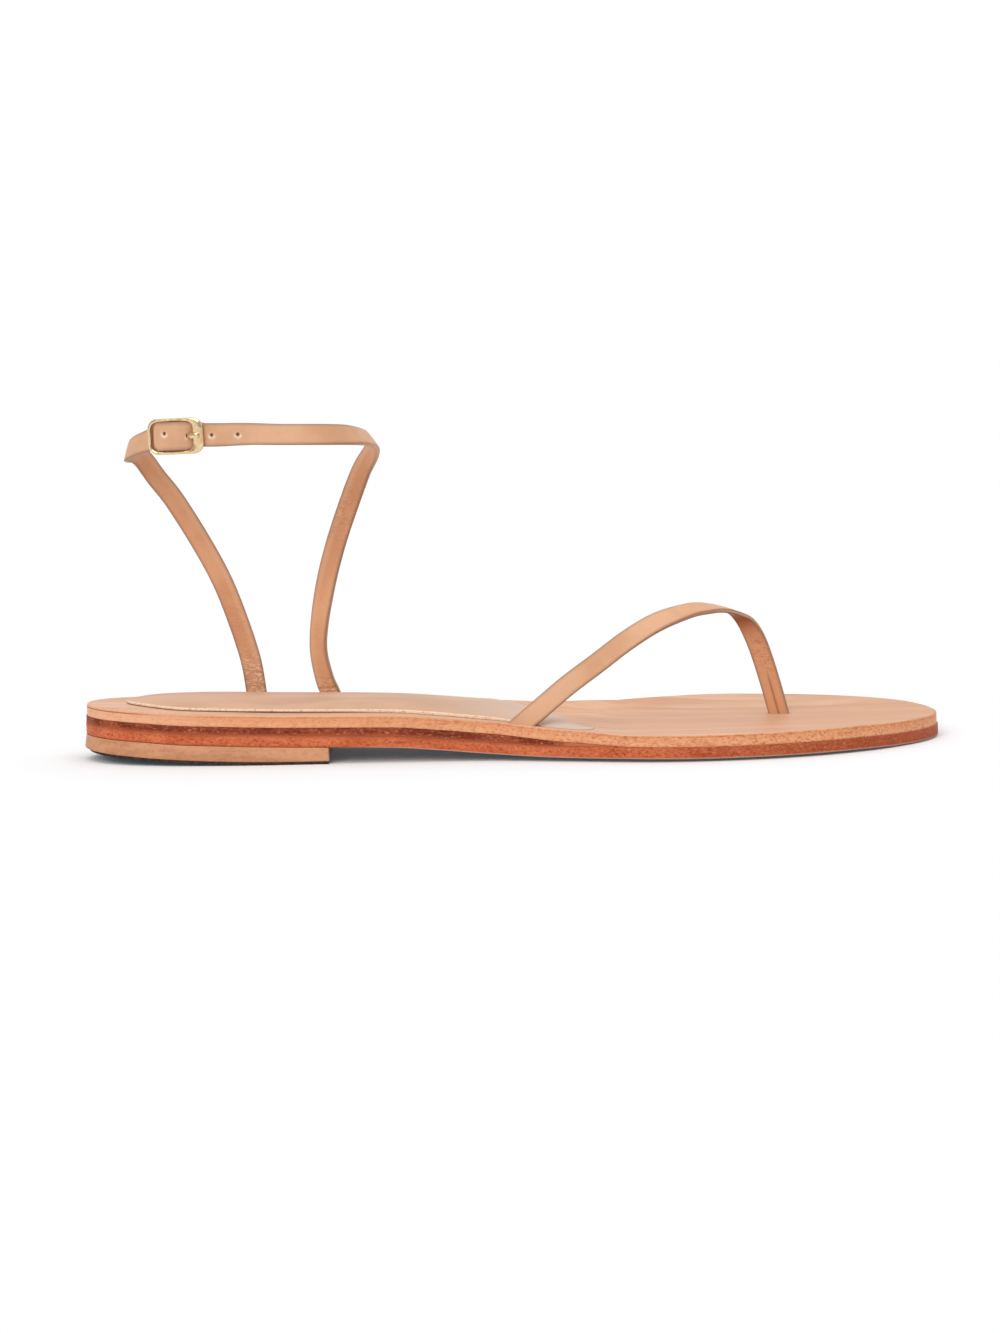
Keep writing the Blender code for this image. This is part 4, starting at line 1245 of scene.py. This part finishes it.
def footbed_look():
    """Pale top with lengthwise streaks, and a cut orange edge with flecks and a dark groove at the heel,
    whose darkness is partly the creased line's own colour and partly painted shade.
    """
    look = Look("footbed leather", specular=0.2)
    streaks = look.noise((0.014, 0.22, 0.22), detail=4, roughness=0.6)
    clouds = look.noise((0.03, 0.05, 0.05))
    lines = look.noise((0.05, 1.3, 1.3), detail=2)
    patches = look.noise((0.12, 0.5, 0.5))
    fine, dark, light = look.flecks((0.85, 1.6, 1.6))
    rough = look.along(-0.1, 0.05, 0.35, 1.0)
    up = look.kept("up")
    groove = look.times(look.ramp(up, 0.68, 0.74), look.ramp(up, 0.84, 0.78), look.along(-0.1, -0.112))
    top = look.tinted(
        look.tones(streaks, 0.36, 0.64, (208, 154, 118), (228, 186, 155)),
        ((222, 166, 130), look.ramp(clouds, 0.4, 0.65, 0.0, 0.45)),
        ((200, 144, 110), look.ramp(lines, 0.52, 0.68, 0.0, 0.3)),
        ((206, 150, 112), look.along(0.05, 0.12, 0.0, 0.35)),
    )
    edge = look.tinted(
        look.tones(up, 0.1, 0.9, (241, 170, 125), (228, 153, 106)),
        ((246, 192, 158), look.along(-0.07, -0.12, 0.0, 0.55)),
        ((212, 128, 80), look.ramp(patches, 0.48, 0.66, 0.0, 0.4), rough),
        ((172, 94, 54), dark, rough, 0.65),
        ((252, 206, 164), light, rough, 0.4),
        # the groove: partly its own darker colour, partly painted shade in it
        ((170, 86, 56), groove, 0.8),
    )
    upward = look.ramp(look.geometry("Normal", "Z"), 0.45, 0.8)
    grain = look.noise((1.2, 2.6, 2.6))
    fibres = look.times(look.compute("SUBTRACT", 1.0, upward), fine)
    gloss = look.ramp(streaks, 0.3, 0.7, 0.46, 0.58)
    return look.finish(look.blend(upward, edge, top), (grain, 0.03), (fibres, 0.16), roughness=gloss)


def wedge_look():
    """Dark maroon layer with frayed, lighter fibres along its lower border and at its front end."""
    look = Look("wedge leather", roughness=0.7, specular=0.1)
    slow = look.noise((0.1, 0.3, 0.3))
    fine, dark, light = look.flecks((0.9, 1.9, 1.9))
    low = look.ramp(look.frayed(look.kept("up"), fine, 1.2), 0.86, 0.5)
    ahead = look.ramp(look.frayed(look.geometry("Position", "X"), fine, 0.012), 0.017, 0.022)
    colour = look.tinted(
        look.tones(slow, 0.35, 0.65, (129, 53, 33), (161, 79, 51)),
        ((88, 34, 22), dark, 0.7),
        ((204, 104, 60), low, 0.9),
        ((222, 142, 100), light, 0.65),
        ((192, 112, 74), ahead),
    )
    return look.finish(colour, (fine, 0.2))


def outsole_look():
    """Red-brown stained edge with flecks, a pale line at its foot and a plain tan underside."""
    look = Look("outsole leather", roughness=0.6, specular=0.15)
    slow = look.noise((0.05, 0.3, 0.3))
    fine, dark, light = look.flecks((0.9, 1.8, 1.8))
    up = look.kept("up")
    side = look.kept("side")
    stain = look.ramp(look.frayed(up, fine, 0.7), 1.05, 1.4)
    foot = look.times(side, look.ramp(up, 0.16, 0.06), look.along(-0.052, -0.03))
    colour = look.tinted(
        look.tones(slow, 0.35, 0.65, (202, 97, 57), (220, 118, 76)),
        ((152, 70, 40), look.along(0.0, 0.1), 0.66),
        ((140, 56, 30), dark, 0.7),
        ((240, 156, 106), light, 0.5),
        ((126, 58, 38), stain, look.along(0.022, 0.012), 0.55),
        ((216, 180, 158), foot, 0.7),
        ((200, 172, 150), look.ramp(side, 0.5, 0.1)),
    )
    return look.finish(colour, (fine, 0.16))


def heel_look():
    """Tan heel leather, smooth with a few faint marks."""
    look = Look("heel leather", roughness=0.55, specular=0.2)
    slow = look.noise((0.05, 0.12, 0.25), detail=4)
    fine, dark, light = look.flecks((0.6, 1.0, 1.0))
    colour = look.tinted(
        look.tones(slow, 0.38, 0.62, (197, 137, 98), (213, 154, 114)),
        ((160, 104, 70), dark, 0.28),
        ((224, 172, 134), light, 0.3),
    )
    return look.finish(colour, (fine, 0.07))


def rubber_look():
    """Dark matte rubber with a roughened edge."""
    look = Look("heel rubber", roughness=0.8, specular=0.3)
    fine = look.noise((1.1, 1.1, 1.6), detail=4, roughness=0.7)
    return look.finish(look.tones(fine, 0.4, 0.65, (36, 27, 22), (84, 64, 50)), (fine, 0.2))


def sock_look():
    """Soft insole leather with a pale raw edge, shaded at its foot towards the back."""
    look = Look("insole leather", specular=0.25)
    clouds = look.noise((0.02, 0.06, 0.06), detail=4)
    fine, dark, _ = look.flecks((1.0, 1.8, 1.8))
    side = look.kept("side")
    top = look.tinted(
        look.tones(clouds, 0.38, 0.62, (202, 157, 127), (216, 174, 144)),
        ((214, 192, 175), look.along(-0.03, 0.015), 0.7),
    )
    raw = look.tinted(
        srgb((252, 226, 196)),
        ((214, 164, 128), dark, 0.8),
        ((160, 114, 88), look.ramp(look.kept("up"), 0.4, 0.15), look.along(-0.035, -0.052)),
    )
    colour = look.blend(look.times(side, look.along(0.008, -0.004)), top, raw)
    pores = look.noise((2.4, 2.4, 2.4), detail=2)
    gloss = look.ramp(clouds, 0.3, 0.7, 0.5, 0.62)
    return look.finish(colour, (pores, 0.03), (look.times(side, fine), 0.15), roughness=gloss)


def brass_look():
    """Polished pale gold with faint polishing marks."""
    look = Look("polished brass", metallic=1.0)
    marks = look.noise((1.5, 1.5, 1.5))
    colour = look.tones(marks, 0.3, 0.7, (243, 205, 150), (253, 230, 190))
    return look.finish(colour, roughness=look.ramp(marks, 0.3, 0.7, 0.12, 0.2))


# Studio

def build_floor():
    """A plain pale floor with a faint glow, which lightens its shadows."""
    mesh = bpy.data.meshes.new("floor")
    mesh.from_pydata([(x * FLOOR_REACH, y * FLOOR_REACH, 0) for x, y in SQUARE], [], [range(len(SQUARE))])
    floor = linked("floor", mesh)
    look = Look("floor", roughness=0.9, specular=0.1)
    look.to_shader(emission_color=FLOOR_GLOW_COLOUR, emission_strength=FLOOR_GLOW)
    mesh.materials.append(look.finish(FLOOR_COLOUR))


def build_lights():
    """A white surround that is dimmer behind the camera, and soft lamps above and in front."""
    studio = bpy.data.worlds.new("studio")
    bpy.context.scene.world = studio
    nodes = Nodes(studio)
    place = nodes.node("TexCoord", {}).outputs["Generated"]
    bright = nodes.node("VectorMath", {0: place, 1: BRIGHT_SIDE}, operation="DOT_PRODUCT").outputs["Value"]
    inputs = {"From Min": -1.0, "From Max": 1.0, "To Min": SURROUND_DIM, "To Max": SURROUND_BRIGHT}
    strength = nodes.node("MapRange", {"Value": bright, **inputs}).outputs["Result"]
    background = nodes.tree.nodes["Background"]
    nodes.feed(background.inputs["Color"], (1, 1, 1, 1))
    nodes.feed(background.inputs["Strength"], strength)
    for name, place_at, energy, spread in LAMPS:
        light = bpy.data.lights.new(name, "SUN")
        light.energy = energy
        light.angle = math.radians(spread)
        lamp = linked(name, light)
        lamp.location = place_at
        lamp.rotation_euler = (LAMPS_AIM - lamp.location).to_track_quat("-Z", "Y").to_euler()


def build_camera():
    """The photo's view: from the outer side, a little above, with the toe side rolled up slightly."""
    data = bpy.data.cameras.new("camera")
    data.sensor_width = SENSOR
    data.lens = SENSOR * CAMERA_DISTANCE / (PHOTO_HEIGHT * PHOTO_SCALE)
    camera = linked("camera", data)
    camera.matrix_world = (
        Matrix.Translation(world(CAMERA_AIM))
        @ Matrix.Rotation(math.pi / 2 - CAMERA_ELEVATION, 4, "X")
        @ Matrix.Rotation(-CAMERA_ROLL, 4, "Z")
        @ Matrix.Translation((0, 0, CAMERA_DISTANCE * MM))
    )
    bpy.context.scene.camera = camera


def main():
    bpy.context.scene.view_settings.view_transform = "Standard"
    build_camera()
    build_floor()
    build_lights()
    footbed = build_sole()
    build_sock()
    build_straps(footbed)
    brass = brass_look()
    build_buckle_frame(brass)
    build_prong(brass)


main()
